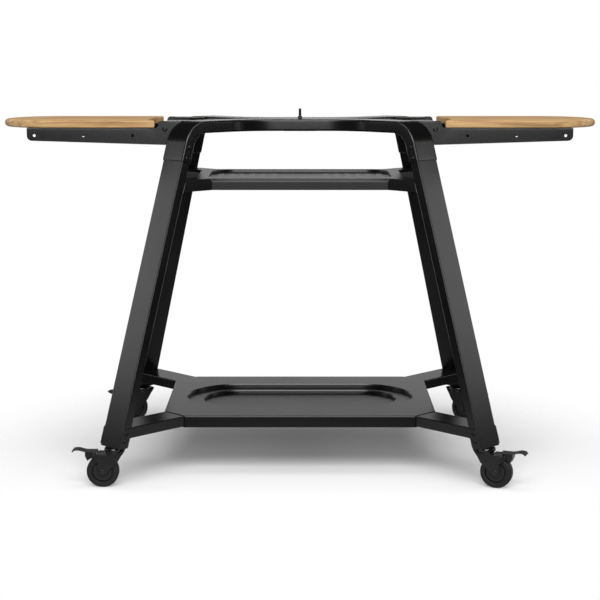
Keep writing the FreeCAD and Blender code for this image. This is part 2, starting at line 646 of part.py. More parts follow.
nodes["bracket_screws"] = compound("bracket_screws", four("tab_screws", compound("tab_screws", tab_screws)))
wood_screws = []
for k, place in enumerate(board_screw_places):
    wood_screws.append(screw("wood_screw_%d" % k, place, Z * -1, 14, "2"))
nodes["board_screws"] = compound("board_screws", four("wood_screws", compound("wood_screws", wood_screws)))
board_pilots = [drill("pilot_%d" % k, p, Z, 15, "2") for k, p in enumerate(board_screw_places)]
pilot_group = compound("pilots", board_pilots)
board = cut("right_board", board_rounded, [pilot_group, mirror("front_pilots", pilot_group, Y)])
nodes["right_board"] = board
nodes["left_board"] = mirror("left_board", board, X)

# Tie bars: round rods between the two brackets of a board, held by a screw at each end
tie_blank = rod("tie_blank", "Sizes.tie_radius", 2 * web_back, vec(size("tie_x"), -web_back, size("tie_height")), Y)
tie_taps = [drill("tie_tap_%d" % k, vec(size("tie_x"), side * (face + 5), size("tie_height")), Y * -side, 22, "Sizes.screw_radius")
            for k, side in enumerate((-1, 1))]
nodes["right_tie_bar"] = cut("right_tie_bar", tie_blank, tie_taps)
nodes["left_tie_bar"] = mirror("left_tie_bar", nodes["right_tie_bar"], X)
tie_screw = screw("tie_screw", vec(size("tie_x"), face, size("tie_height")), Y, 16)
nodes["tie_bar_screws"] = compound("tie_bar_screws", four("tie_screws", tie_screw))

# Castors: built once about their own swivel axis with the wheel towards +X, then turned into place
top = size("foot_height")
mount_low = size("crown_low") - 3
cup = size("cup_radius")


def sideways(offset):
    # Sketch plane seen from the castor's right-hand side, at an offset along its own y axis
    return frame_at(vec(0, offset, 0), X, Z, Y * -1)


cup_points = [(4, 84), (19, 84), (21.4, 85.6), (cup, 88), (cup, 90.8, (cup - 1.2, 93.1)), (cup - 4, 94), (4, 94)]
castor_cup = revolve("castor_cup", outline("castor_cup_outline", cup_points, sideways(0)), vec(0, 0, 0), Z, 360)
mount_bits = [
    rod("castor_stem", "Sizes.stem_radius", size("stem_top") - mount_low, vec(0, 0, mount_low), Z),
    rod("castor_collar", "9", 1.5, vec(0, 0, top - 1.5), Z),
    castor_cup,
    rod("castor_kingpin_head", "8", 2.7, vec(0, 0, mount_low), Z),
]
castor_mount = fuse("castor_mount", mount_bits)

trail = size("trail")
axle_z = size("wheel_radius")
crown_low, crown_high = size("crown_low"), size("crown_high")
pivot = (size("pivot_x"), size("pivot_z"))
inner_y = size("fork_inner")
plate = size("fork_plate")


def touch(centre, r, point, turn):
    # Angle at which a line from an outside point touches the circle, on the side picked by turn
    dx, dy = point[0] - centre[0], point[1] - centre[1]
    return math.atan2(dy, dx) + turn * math.acos(r / math.hypot(dx, dy))


def around(centre, r, angle):
    return (centre[0] + r * math.cos(angle), centre[1] + r * math.sin(angle))


hub_centre = (trail, axle_z)
back_low, back_top = (-9, 60), (-28, 91.5)
front_low = (36, 58.5)
boss_r = 8.5
left_touch = touch(hub_centre, boss_r, back_low, 1)
right_touch = touch(hub_centre, boss_r, front_low, -1)
ear_touch = touch(pivot, 5, front_low, 1)
ear_end = math.pi - math.asin((crown_high - pivot[1]) / 5)
boss_turn = (left_touch + right_touch + 2 * math.pi) / 2
ear_start = ear_touch - 2 * math.pi if ear_touch > math.pi else ear_touch
plate_points = [(-13, 83.1), (-24.2, 91.5)]
plate_points += soften((-24.2, 91.5), back_top, (-27, 88), 2)
plate_points += [
    back_low,
    around(hub_centre, boss_r, left_touch) + (around(hub_centre, boss_r, boss_turn),),
    around(hub_centre, boss_r, right_touch),
    front_low,
    around(pivot, 5, ear_start) + (around(pivot, 5, (ear_start + ear_end) / 2),),
    around(pivot, 5, ear_end),
    (16, crown_high), (9, 83),
]
fork_bits = []
for tag, offset in (("left", inner_y + plate), ("right", -inner_y)):
    side = extrude("fork_%s_plate" % tag, outline("fork_%s_outline" % tag, plate_points, sideways(offset)), "Sizes.fork_plate")
    fork_bits.append(side)
crown_width = 2 * (inner_y + plate)
crown_place = FreeCAD.Placement(vec(-18, -crown_width / 2, crown_low), FreeCAD.Rotation())
fork_bits.append(box("fork_crown", 58, crown_width, "Sizes.crown_high - Sizes.crown_low", crown_place))
back_points = [(-19.6, 77), (-26.6, 87.5), (-27.6, 90), (-27.6, 91.5), (-25.4, 91.5), (-25.2, 89), (-17.4, 77)]
fork_bits.append(extrude("fork_back", outline("fork_back_outline", back_points, sideways(crown_width / 2)), crown_width))
fork_bits.append(rod("fork_housing", "Sizes.housing_radius", "Sizes.housing_top - Sizes.crown_low", vec(0, 0, crown_low), Z))
fork_blank = fuse("fork_blank", fork_bits)
fork_tools = [
    rod("fork_bore", "Sizes.stem_radius + Sizes.running_fit", 40, vec(0, 0, 60), Z),
    rod("fork_axle_hole", "Sizes.axle_radius + 0.05", 60, vec(trail, -30, axle_z), Y),
]
fork_cut = cut("fork_cut", fork_blank, fork_tools)
pivot_pin = rod("pivot_pin", "Sizes.pivot_radius", 2 * inner_y + 1, vec(pivot[0], -inner_y - 0.5, pivot[1]), Y)
castor_fork = fuse("castor_fork", [fork_cut, pivot_pin])

rivet_reach = inner_y + plate + 1.6
axle_blank = [rod("axle_shank", "Sizes.axle_radius", 2 * rivet_reach, vec(trail, -rivet_reach, axle_z), Y)]
axle_dimples = []
for tag, start, end in (("head", rivet_reach - 1.6, rivet_reach - 1.2), ("tail", -rivet_reach, -rivet_reach - 0.8)):
    axle_blank.append(rod("axle_" + tag, "Sizes.axle_radius + 1.8", 1.6, vec(trail, start, axle_z), Y))
    axle_dimples.append(rod("axle_%s_dimple" % tag, "Sizes.axle_radius - 1.4", 2, vec(trail, end, axle_z), Y))
castor_axle = cut("castor_axle", fuse("axle_blank", axle_blank), axle_dimples)

hub_wide = size("tyre_width") - 3
hub_bits = [
    rod("hub_rim", "Sizes.hub_radius", hub_wide, vec(trail, -hub_wide / 2, axle_z), Y),
    rod("hub_boss", "9.5", 27, vec(trail, -13.5, axle_z), Y),
]
hub_blank = fuse("hub_blank", hub_bits)
hub_tools = [rod("hub_bore", "Sizes.axle_radius + Sizes.running_fit", 60, vec(trail, -30, axle_z), Y)]
for tag, start in (("left", hub_wide / 2 - 4), ("right", -hub_wide / 2 - 1)):
    ring = rod("groove_%s_disc" % tag, "Sizes.hub_radius + 1", 5, vec(trail, start, axle_z), Y)
    core = rod("groove_%s_core" % tag, "Sizes.hub_radius - 3.4", 7, vec(trail, start - 1, axle_z), Y)
    hub_tools.append(cut("hub_groove_" + tag, ring, [core]))
castor_hub = cut("castor_hub", hub_blank, hub_tools)

tyre_wide = size("tyre_width")
tyre_blank = rod("tyre_blank", "Sizes.wheel_radius", "Sizes.tyre_width", vec(trail, -tyre_wide / 2, axle_z), Y)
tyre_round = round_edges("tyre_round", tyre_blank, 5, lambda edge: abs(edge.Length - 2 * math.pi * axle_z) < 0.1
                         and edge.BoundBox.YLength < 0.01)
tyre_bore = rod("tyre_bore", "Sizes.hub_radius", 60, vec(trail, -30, axle_z), Y)
castor_tyre = cut("castor_tyre", tyre_round, [tyre_bore])

# Brake pedal: a pressed lever on the pivot pin, with a cam block that squeezes the tyre
blade_low, blade_high = size("blade_low"), size("blade_low") + size("blade_thick")
blade_points = [(38, blade_low), (62, blade_low), (66.5, blade_low + 0.6), (80.5, blade_low + 4), (86, blade_low + 4.3),
                (92, blade_low + 3.2), (95.6, blade_low + 0.4), (97.5, blade_low + 1.4), (93.4, blade_high + 3.3),
                (86, blade_high + 4.5), (80, blade_high + 4.2), (66, blade_high + 0.6), (61.5, blade_high), (38, blade_high)]
blade_half = size("blade_width") / 2
blade = extrude("blade", outline("blade_outline", blade_points, sideways(blade_half)), "Sizes.blade_width")
neck = box("pedal_neck", 20, 14, 2.6, FreeCAD.Placement(vec(22, -7, blade_low - 2.5), FreeCAD.Rotation()))
cam_points = [(pivot[0], blade_low + 0.5), (pivot[0], pivot[1]), (50, 71), (57, 66.5), (60.5, 62.5), (66, 74.5), (66, blade_low + 0.5)]
cam_half = inner_y - 1.7
cam = extrude("pedal_cam", outline("pedal_cam_outline", cam_points, sideways(cam_half)), 2 * cam_half)
knuckle = rod("pedal_knuckle", "4.6", 2 * cam_half, vec(pivot[0], -cam_half, pivot[1]), Y)
pedal_blank = fuse("pedal_blank", [blade, neck, cam, knuckle])
pedal_bore = rod("pedal_bore", "Sizes.pivot_radius + Sizes.running_fit", 60, vec(pivot[0], -30, pivot[1]), Y)
castor_pedal = cut("castor_pedal", pedal_blank, [pedal_bore])

# Headings of the four castors, turned anticlockwise from +X
CASTORS = (("rear_right", 1, 1, -45), ("rear_left", -1, 1, 208), ("front_right", 1, -1, -22), ("front_left", -1, -1, 180))
for corner, side_x, side_y, heading in CASTORS:
    turned = FreeCAD.Placement(vec(side_x * foot.x, side_y * foot.y, 0), FreeCAD.Rotation(Z, heading))
    for word, source in (("castor_mount", castor_mount), ("castor_fork", castor_fork), ("castor_axle", castor_axle),
                         ("wheel_hub", castor_hub), ("wheel_tyre", castor_tyre), ("brake_pedal", castor_pedal)):
        name = corner + "_" + word
        nodes[name] = compound(name, [source], turned)

# Check every part, then write one file for each
doc.recompute()
for name, piece in nodes.items():
    piece.Label = name
    state = piece.State
    shape = piece.Shape
    if "Up-to-date" not in state or shape.isNull() or not shape.isValid() or not shape.Solids:
        raise SystemExit("part %s is not sound: %s" % (name, state))
for name, piece in nodes.items():
    piece.Shape.exportStep("parts/%s.step" % name)
    box_size = piece.Shape.optimalBoundingBox(False)
    print("%-28s %2d %10.0f  %7.1f %7.1f %7.1f %7.1f %7.1f %7.1f" % (
        name, len(piece.Shape.Solids), piece.Shape.Volume, box_size.XMin, box_size.XMax, box_size.YMin, box_size.YMax,
        box_size.ZMin, box_size.ZMax))
print(len(nodes), "parts")
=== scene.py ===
import math
import bmesh
import bpy
from mathutils import Matrix, Vector


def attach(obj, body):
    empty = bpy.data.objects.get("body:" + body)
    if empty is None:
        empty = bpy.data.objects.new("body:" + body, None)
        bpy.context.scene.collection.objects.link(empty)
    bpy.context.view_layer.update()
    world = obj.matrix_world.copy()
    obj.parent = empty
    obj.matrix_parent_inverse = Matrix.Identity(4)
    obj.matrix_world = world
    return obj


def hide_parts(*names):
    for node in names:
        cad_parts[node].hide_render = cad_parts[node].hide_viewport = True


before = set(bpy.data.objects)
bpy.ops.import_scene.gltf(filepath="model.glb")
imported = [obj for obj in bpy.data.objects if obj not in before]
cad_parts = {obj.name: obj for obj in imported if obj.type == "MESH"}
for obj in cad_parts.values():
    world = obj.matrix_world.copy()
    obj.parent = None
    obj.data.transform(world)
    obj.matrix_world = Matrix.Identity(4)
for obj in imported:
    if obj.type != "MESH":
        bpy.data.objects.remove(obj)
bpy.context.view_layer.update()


# Top frame: two rectangular steel tubes, 73 by 28 mm, each bent flat into a shallow hoop and then
# down onto the line of the legs. They lie back to back in the middle and are powder coated
# fine satin black after welding, which leaves a faint orange-peel surface.

class Value:
    """A shader output that takes part in ordinary sums; every operator adds the Math node for it."""

    def __init__(self, tree, socket=None):
        self.tree = tree
        self.socket = socket

    def node(self, kind, inputs=(), output=0, **settings):
        # A node of one kind: its settings first, then the values or links of its sockets
        made = self.tree.nodes.new("ShaderNode" + kind)
        for word, setting in settings.items():
            setattr(made, word, setting)
        for place, value in dict(inputs).items():
            if isinstance(value, Value):
                self.tree.links.new(value.socket, made.inputs[place])
            else:
                made.inputs[place].default_value = value
        return Value(self.tree, made.outputs[output])

    def sibling(self, output):
        # Another output of the same node
        return Value(self.tree, self.socket.node.outputs[output])

    def maths(self, operation, *terms):
        return self.node("Math", enumerate(terms), operation=operation)

    def __add__(self, other):
        return self.maths("ADD", self, other)

    def __radd__(self, other):
        return self.maths("ADD", other, self)

    def __sub__(self, other):
        return self.maths("SUBTRACT", self, other)

    def __rsub__(self, other):
        return self.maths("SUBTRACT", other, self)

    def __mul__(self, other):
        return self.maths("MULTIPLY", self, other)

    def __rmul__(self, other):
        return self.maths("MULTIPLY", other, self)

    def __truediv__(self, other):
        return self.maths("DIVIDE", self, other)

    def __rtruediv__(self, other):
        return self.maths("DIVIDE", other, self)

    def __lt__(self, other):
        return self.maths("LESS_THAN", self, other)


def surface(name):
    # A new material, an empty value that its nodes are hung on, and the place on the piece
    made = bpy.data.materials.new(name)
    made.use_nodes = True
    made.node_tree.nodes.clear()
    start = Value(made.node_tree)
    return made, start, start.node("TexCoord", output="Object")


def coat(start, inputs):
    # Closes a material with one Principled shader
    shader = start.node("BsdfPrincipled", inputs)
    end = start.tree.nodes.new("ShaderNodeOutputMaterial")
    start.tree.links.new(shader.socket, end.inputs["Surface"])


def mix(start, factor, a, b):
    # Blends two colours, each a value or three numbers, at the Mix node's two colour sockets
    parts = {"Factor": factor}
    for place, colour in ((6, a), (7, b)):
        parts[place] = colour if isinstance(colour, Value) else (*colour, 1.0)
    return start.node("Mix", parts, output=2, data_type="RGBA")


def noise(place, scale, detail, roughness=0.5):
    # Noise texture over a place
    return place.node("TexNoise", {"Vector": place, "Scale": scale, "Detail": detail, "Roughness": roughness})


def grey(level):
    # A grey with a touch of blue in it
    return (level, level, level * 1.02)


def powder_coat(name, gloss, ripple):
    # Satin black powder coat; gloss is its least roughness and ripple the strength of its orange peel
    made, start, place = surface(name)
    peel = noise(place, 620.0, 2.0, 0.45)
    cloud = noise(place, 9.0, 3.0)
    dust = noise(place, 190.0, 4.0, 0.7)
    coat(start, {
        "Base Color": mix(start, cloud * 0.6 + dust * 0.4, grey(0.0018), grey(0.0045)),
        "Roughness": gloss + 0.05 * cloud + 0.04 * dust,
        "Normal": start.node("Bump", {"Strength": ripple, "Distance": 0.0003, "Height": peel}),
    })
    return made


powder = powder_coat("satin black powder coat", 0.21, 0.07)


def face_outward(build):
    # Turns every connected part of a mesh outward, by the sign of the volume inside its faces
    bmesh.ops.recalc_face_normals(build, faces=build.faces)
    left = set(build.faces)
    while left:
        part, reached = [], [left.pop()]
        while reached:
            face = reached.pop()
            part.append(face)
            near = {f for edge in face.edges for f in edge.link_faces} & left
            left -= near
            reached += near
        middle = sum((f.calc_center_median() for f in part), Vector()) / len(part)
        if sum((f.calc_center_median() - middle).dot(f.normal) * f.calc_area() for f in part) < 0:
            bmesh.ops.reverse_faces(build, faces=part)


def finished(name, build, coating, body, nodes=(), angle=32, sheet=0, outward=None):
    """One piece from a built mesh: shaded, coated, tied to its CAD body and standing for its CAD nodes.
    A sheet is built as its outer skin, whose faces mostly look outward, and is thickened inward."""
    data = bpy.data.meshes.new(name)
    bmesh.ops.remove_doubles(build, verts=build.verts, dist=1e-6)
    face_outward(build)
    if outward is not None:
        facing = sum((f.normal * f.calc_area() for f in build.faces), Vector())
        if facing.dot(Vector(outward)) < 0:
            bmesh.ops.reverse_faces(build, faces=build.faces)
    build.to_mesh(data)
    build.free()
    data.polygons.foreach_set("use_smooth", [True] * len(data.polygons))
    data.set_sharp_from_angle(angle=math.radians(angle))
    piece = bpy.data.objects.new(name, data)
    bpy.context.scene.collection.objects.link(piece)
    data.materials.append(coating)
    if sheet:
        thick = piece.modifiers.new("thickness", "SOLIDIFY")
        thick.thickness = sheet
        thick.offset = -1
        thick.use_even_offset = True
        split = piece.modifiers.new("cut_edges", "EDGE_SPLIT")
        split.split_angle = math.radians(max(angle, 30))
    weighted = piece.modifiers.new("weighted_normal", "WEIGHTED_NORMAL")
    weighted.keep_sharp = True
    weighted.weight = 95
    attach(piece, body)
    if nodes:
        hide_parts(*nodes)
    return piece


def rounded(width, depth, corner, steps=5):
    # Closed loop of a rounded rectangle about its middle, anticlockwise
    loop = []
    for k, (sx, sy) in enumerate(((1, 1), (-1, 1), (-1, -1), (1, -1))):
        for j in range(steps + 1):
            turn = math.radians(90 * k + 90 * j / steps)
            loop.append((sx * (width / 2 - corner) + corner * math.cos(turn),
                         sy * (depth / 2 - corner) + corner * math.sin(turn)))
    return loop


def across_tube(shape, middle, across, up):
    # A flat shape set square to a tube at one place along it
    return [middle + across * x + up * y for x, y in shape]


def skin(build, rings, closed=True):
    # Quads between successive rings of points; gives back the rings as vertices
    rows = [[p if isinstance(p, bmesh.types.BMVert) else build.verts.new(p) for p in ring] for ring in rings]
    for low, high in zip(rows, rows[1:]):
        count = len(low)
        for k in range(count if closed else count - 1):
            quad = [low[k], low[(k + 1) % count], high[(k + 1) % count], high[k]]
            if len(set(quad)) > 2:
                build.faces.new([v for i, v in enumerate(quad) if v not in quad[:i]])
    return rows


lean = math.radians(17.2)
out_45 = Vector((1, 1, 0)).normalized()
side_45 = Vector((-1, 1, 0)).normalized()
down_leg = out_45 * math.sin(lean) - Vector((0, 0, math.cos(lean)))
foot = Vector((0.433, 0.335, 0.095))
plan_offset = foot.x - foot.y
tube_width, tube_height, tube_corner, tube_wall = 0.0732, 0.028, 0.0045, 0.0019
rail, sleeve_end = 0.826, 0.746
side_bend, drop_bend = 0.195, 0.054


def on_leg(height):
    # The middle of the rear right leg at a height
    return foot - down_leg * ((height - foot.z) / math.cos(lean))


def hoop_path():
    # Stations of the right half of the rear tube: middle, width direction, thickness direction
    upward = Vector((0, 0, 1))
    stations = [(Vector((x, tube_width / 2, rail)), Vector((0, 1, 0)), upward) for x in (0, 0.02, 0.04)]
    turn_x = plan_offset + tube_width / 2 + side_bend * (1 - math.sqrt(2))
    turn_middle = Vector((turn_x, tube_width / 2 + side_bend, rail))
    for k in range(25):
        turn = math.radians(45 * k / 24)
        across = Vector((-math.sin(turn), math.cos(turn), 0))
        stations.append((turn_middle - across * side_bend, across, upward))
    drop_turn = math.pi / 2 - lean
    bend_start = on_leg(rail) - out_45 * drop_bend * math.tan(drop_turn / 2)
    for share in (0.3, 0.6, 0.9):
        stations.append((stations[-1][0].lerp(bend_start, share), side_45, upward))
    bend_middle = bend_start - upward * drop_bend
    for k in range(33):
        turn = drop_turn * k / 32
        up = upward * math.cos(turn) + out_45 * math.sin(turn)
        stations.append((bend_middle + up * drop_bend, side_45, up))
    last_up = stations[-1][2]
    for height in (0.776, 0.761, sleeve_end + 0.0012, sleeve_end + 0.0005, sleeve_end):
        stations.append((on_leg(height), side_45, last_up))
    return stations


for name, flip in (("rear_hoop", 1), ("front_hoop", -1)):
    half = hoop_path()
    other_half = [[v * Vector((-1, 1, 1)) for v in station] for station in half[:0:-1]]
    whole = other_half + half
    # The rings next to each end are trimmed, which breaks the sleeve's edge
    end_trims = [0.0011, 0.0004]
    trims = end_trims + [0] * (len(whole) - 4) + end_trims[::-1]
    outside = []
    for station, trim in zip(whole, trims):
        shape = rounded(tube_width - 2 * trim, tube_height - 2 * trim, tube_corner - trim, 6)
        outside.append(across_tube(shape, *station))
    bore = rounded(tube_width - 2 * tube_wall, tube_height - 2 * tube_wall, tube_corner - tube_wall, 6)
    build = bmesh.new()
    rows = skin(build, outside)
    for end_row, stations in ((rows[0], whole[:5]), (rows[-1], whole[:-6:-1])):
        skin(build, [end_row] + [across_tube(bore, *station) for station in stations])
    for v in build.verts:
        v.co.y *= flip
    finished(name, build, powder, "stand", [name])


# Tie plate: a 2.5 mm steel plate with rounded corners, welded across the underside of both tubes
# where they lie back to back, and coated with them.

def lifted(loop, z):
    # A flat loop laid level at a height
    return [Vector((x, y, z)) for x, y in loop]


plate_top, plate_low = 0.812, 0.8095
build = bmesh.new()
plate_rings = []
for z, trim in ((plate_top, 0), (plate_low + 0.0004, 0), (plate_low, 0.0008)):
    plate_rings.append(lifted(rounded(0.08 - trim, 0.05 - trim, 0.006), z))
rows = skin(build, plate_rings)
build.faces.new(rows[-1])
build.faces.new(rows[0])
finished("tie_plate", build, powder, "stand", ["hoop_tie_plate"])


# Locating stud: the upright pin that centres the oven. It is turned from hexagon steel bar, with a
# shoulder, screwed down through the seam between the tubes into the tie plate, and black nickel
# plated.

def ring(radius, z, steps, matrix=Matrix(), outline=None):
    # Circle about Z, or another shape where outline says how far it reaches in a direction
    points = []
    for k in range(steps):
        turn = 2 * math.pi * k / steps
        reach = radius * outline(turn) if outline else radius
        points.append(matrix @ Vector((reach * math.cos(turn), reach * math.sin(turn), z)))
    return points


def lathe(build, profile, steps, matrix=Matrix(), outline=None):
    # Turned shape from (radius, height) pairs
    skin(build, [ring(r, z, steps, matrix, outline) for r, z in profile])


def hexagonal(turn):
    # How far a hexagon with a flat-to-flat half width of 1 reaches in a direction
    return 1 / math.cos((turn % (math.pi / 3)) - math.pi / 6)


def mottled(name, dark, light, drift, roughness, bump, grain=None, metallic=0.0):
    """A finish that drifts between two greys. drift and grain are the scale and detail of a noise, bump
    the strength and depth of the grain, or of the drift where there is none, and roughness its least
    value and its growth with the drift."""
    made, start, place = surface(name)
    cloud = noise(place, *drift)
    height = noise(place, *grain) if grain else cloud
    coat(start, {
        "Base Color": mix(start, cloud, dark, light),
        "Metallic": metallic,
        "Roughness": roughness[0] + roughness[1] * cloud,
        "Normal": start.node("Bump", {"Strength": bump[0], "Distance": bump[1], "Height": height}),
    })
    return made


def plated(name, dark, light):
    # Plated steel, smeared by handling
    return mottled(name, dark, light, (160.0, 3.0), (0.16, 0.16), (0.1, 0.0001), (2400.0, 1.0), metallic=1.0)


stud_steel = plated("black nickel plated steel", grey(0.01), grey(0.025))

collar_low, collar_top, pin_top = 0.84, 0.8455, 0.864
thread_root, thread_crest, thread_pitch, thread_flank = 0.0036, 0.00398, 0.00122, 0.0006
shank = [(0, plate_low), (0.0034, plate_low)]
for k in range(24):
    low = plate_low + 0.0005 + k * thread_pitch
    shank += [(thread_crest, low), (thread_root, low + thread_flank)]
shank += [(0.0037, collar_low + 0.0002), (0, collar_low + 0.0002)]
collar = [(0, collar_low), (0.0044, collar_low), (0.00446, collar_low + 0.0005),
          (0.00446, collar_top - 0.0006), (0.0042, collar_top), (0.0034, collar_top)]
pin = [(0.0034, collar_top), (0.0032, collar_top + 0.0003), (0.0032, pin_top - 0.0018),
       (0.0029, pin_top - 0.0008), (0.002, pin_top - 0.0002), (0, pin_top)]
build = bmesh.new()
lathe(build, shank, 32)
lathe(build, collar, 72, outline=lambda turn: min(hexagonal(turn), 1.153))
lathe(build, pin, 72)
finished("locating_stud", build, stud_steel, "stand", ["locating_stud"])


# Legs: straight rectangular steel tubes, 69 by 24 mm, slid up into the hoop ends, cut level at the
# foot and powder coated like the hoops.

quadrants = {"rear_right": (1, 1), "rear_left": (-1, 1), "front_right": (1, -1), "front_left": (-1, -1)}


def quadrant(build, sx, sy):
    # Mirrors what was built for the rear right quadrant into another one
    for v in build.verts:
        v.co.x *= sx
        v.co.y *= sy


def level_end(points):
    # A ring of the leg slid down it until it lies level with the foot
    return [p + down_leg * ((p.z - foot.z) / math.cos(lean)) for p in points]


leg_out = out_45 * math.cos(lean) + Vector((0, 0, math.sin(lean)))
leg_width, leg_depth, leg_corner, leg_wall = 0.069, 0.0238, 0.0028, 0.0018
leg_top, bore_end = 0.786, 0.126
outer = rounded(leg_width, leg_depth, leg_corner, 6)
bore = rounded(leg_width - 2 * leg_wall, leg_depth - 2 * leg_wall, leg_corner - leg_wall, 6)
for corner, (sx, sy) in quadrants.items():
    build = bmesh.new()
    rings = [across_tube(outer, on_leg(height), side_45, leg_out)
             for height in (leg_top, sleeve_end, 0.6, 0.4, 0.2)]
    rings.append(level_end(rings[-1]))
    inner = across_tube(bore, on_leg(bore_end), side_45, leg_out)
    rows = skin(build, rings + [level_end(inner), inner])
    build.faces.new(rows[0])
    quadrant(build, sx, sy)
    finished(corner + "_leg", build, powder, "stand", [corner + "_leg"])


# Foot inserts: blocks of black nylon, moulded with a fine grain, that close the legs' lower ends
# and hold the castors' stems. The CAD shape is shown with its edges softly broken.

nylon = mottled("moulded black nylon", grey(0.005), grey(0.011), (45.0, 3.0), (0.42, 0.12),
                (0.15, 0.0002), (1300.0, 2.0))

for corner in quadrants:
    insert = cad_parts[corner + "_foot_insert"]
    insert.data.materials.clear()
    insert.data.materials.append(nylon)
    bevel = insert.modifiers.new("broken_edges", "BEVEL")
    bevel.width = 0.0006
    bevel.segments = 2
    bevel.limit_method = "ANGLE"
    bevel.angle_limit = math.radians(50)


# Leg screws: button-head socket screws in black zinc, two on each narrow face of every sleeve. The
# same screws in other lengths hold the shelves, arms and brackets. Each group of screws that does
# one job is one piece.

zinc = mottled("black zinc screws", (0.003, 0.003, 0.0033), (0.008, 0.008, 0.0083), (420.0, 3.0),
               (0.16, 0.1), (0.08, 0.0001), metallic=0.3)


def along(place, direction):
    # Matrix whose own Z runs along a direction from a place
    turn = Vector((0, 0, 1)).rotation_difference(Vector(direction))
    return Matrix.Translation(place) @ turn.to_matrix().to_4x4()


def button_screw(build, seat, direction, radius=0.0057, height=0.0028, shank=0.003, depth=0.008):
    # Domed head with a broken rim, a hex socket and a plain shank below the seat
    axis = along(seat, direction)
    dome = [(0, -depth), (shank * 0.8, -depth), (shank, 0.0006 - depth), (shank, 0), (radius * 0.97, 0),
            (radius, 0.0003), (radius * 0.985, height * 0.32), (radius * 0.9, height * 0.62),
            (radius * 0.74, height * 0.86), (radius * 0.56, height * 0.98), (radius * 0.44, height)]
    lathe(build, dome, 24, axis)
    socket = [ring(radius * 0.44, height, 24, axis)]
    for half, z in ((radius * 0.34, height - 0.0002), (radius * 0.34, height * 0.3), (0, height * 0.22)):
        socket.append(ring(half, z, 24, axis, hexagonal))
    skin(build, socket)


def screw_group(name, node, places, **sizes):
    # places are (seat, direction) pairs of the rear right quadrant
    build = bmesh.new()
    for flip in quadrants.values():
        mirror = Vector((*flip, 1))
        for seat, direction in places:
            button_screw(build, Vector(seat) * mirror, Vector(direction) * mirror, **sizes)
    finished(name, build, zinc, "stand", [node], angle=40)


def through_leg(middles, reach):
    # Seats on both narrow sides of the leg, that far from its middle
    return [(middle + side_45 * side * reach, side_45 * side) for middle in middles for side in (-1, 1)]


screw_group("leg_joint_screws", "leg_joint_screws",
            through_leg([on_leg(sleeve_end) - down_leg * step for step in (0.0095, 0.036)], tube_width / 2),
            depth=0.012)


# Middle shelf: one pressed steel sheet, 2 mm thick, with a turned-down rim, a shallow round-cornered
# recess, twelve raised ribs and four wings whose turned-down ends are screwed flat on the legs. Its
# powder coat is a little duller than the frame's.

def fill(build, *loops):
    # Flat faces between an outer loop of vertices and any loops of holes inside it
    edges = []
    for loop in loops:
        for a, b in zip(loop, loop[1:] + loop[:1]):
            edges.append(build.edges.get((a, b)) or build.edges.new((a, b)))
    bmesh.ops.triangle_fill(build, use_beauty=True, use_dissolve=False, edges=edges)


def rounded_corners(points, steps=5):
    # Closed loop from (x, y, corner radius) points, with an arc of the same number of steps at each
    loop = []
    count = len(points)
    for k, (x, y, r) in enumerate(points):
        here = Vector((x, y))
        if not r:
            loop.append((x, y))
            continue
        back = (Vector(points[k - 1][:2]) - here).normalized()
        ahead = (Vector(points[(k + 1) % count][:2]) - here).normalized()
        half = math.acos(max(-1, min(1, back.dot(ahead)))) / 2
        run = r / math.tan(half)
        first, second = here + back * run, here + ahead * run
        middle = here + (back + ahead).normalized() * (r / math.sin(half))
        for j in range(steps + 1):
            ray = (first - middle).lerp(second - middle, j / steps)
            loop.append(tuple(middle + ray.normalized() * r))
    return loop


def whole_loop(points):
    # The loop of all four quadrants from the corners of the rear right one
    loop = list(points)
    loop += [(-x, y, r) for x, y, r in reversed(points)]
    loop += [(-x, -y, r) for x, y, r in points]
    loop += [(x, -y, r) for x, y, r in reversed(points)]
    return loop


def folded(points):
    # Inset and drop of a bent section with rounded bends, without its two far ends
    return [(x, -z) for x, z in rounded_corners([(x, -z, r) for x, z, r in points], 6)[1:-1]]


def stadium(half_width, centre, steps):
    # Round-ended loop lying along X
    loop = []
    for side in (1, -1):
        for k in range(steps + 1):
            turn = math.pi * k / steps - math.pi / 2
            loop.append((side * (centre + half_width * math.cos(turn)), side * half_width * math.sin(turn)))
    return loop


def leg_side(height, face):
    # Distance outward of the leg's line at a height, or of a face that far in front of its middle
    return (foot.x + foot.y) / math.sqrt(2) - (height - foot.z) * math.tan(lean) + face / math.cos(lean)


def leg_place(outward, across, z):
    # Point by its distance outward along the leg's line in plan, and across that line
    return out_45 * outward + side_45 * across + Vector((plan_offset / 2, -plan_offset / 2, z))


mid_top, mid_low, mid_fold, mid_recess = 0.7035, 0.6765, 0.0066, 0.0075
mid_half_x, mid_half_y, wing_half = 0.256, 0.158, 0.033
recess_width, recess_depth, recess_corner = 0.444, 0.28, 0.06
rib_start, rib_pitch, rib_half, rib_reach, rib_height = 0.0653, 0.0265, 0.0073, 0.0705, 0.0016
mid_sheet = 0.002


def mid_outline(z, inset):
    # The shelf's outline at a height, moved inward by an inset; its wings end on the legs
    end = leg_side(z, -leg_depth / 2) - inset
    half = wing_half - inset
    near, far = leg_place(end, -half, z), leg_place(end, half, z)
    edge_x, edge_y = mid_half_x - inset, mid_half_y - inset
    wing = half * math.sqrt(2)
    end_corner = max(0.0015, 0.0035 - inset)
    return lifted(rounded_corners(whole_loop([
        (edge_x, edge_x - plan_offset - wing, 0.004 + inset), (near.x, near.y, end_corner),
        (far.x, far.y, end_corner), (plan_offset - wing + edge_y, edge_y, 0.004 + inset)])), z)


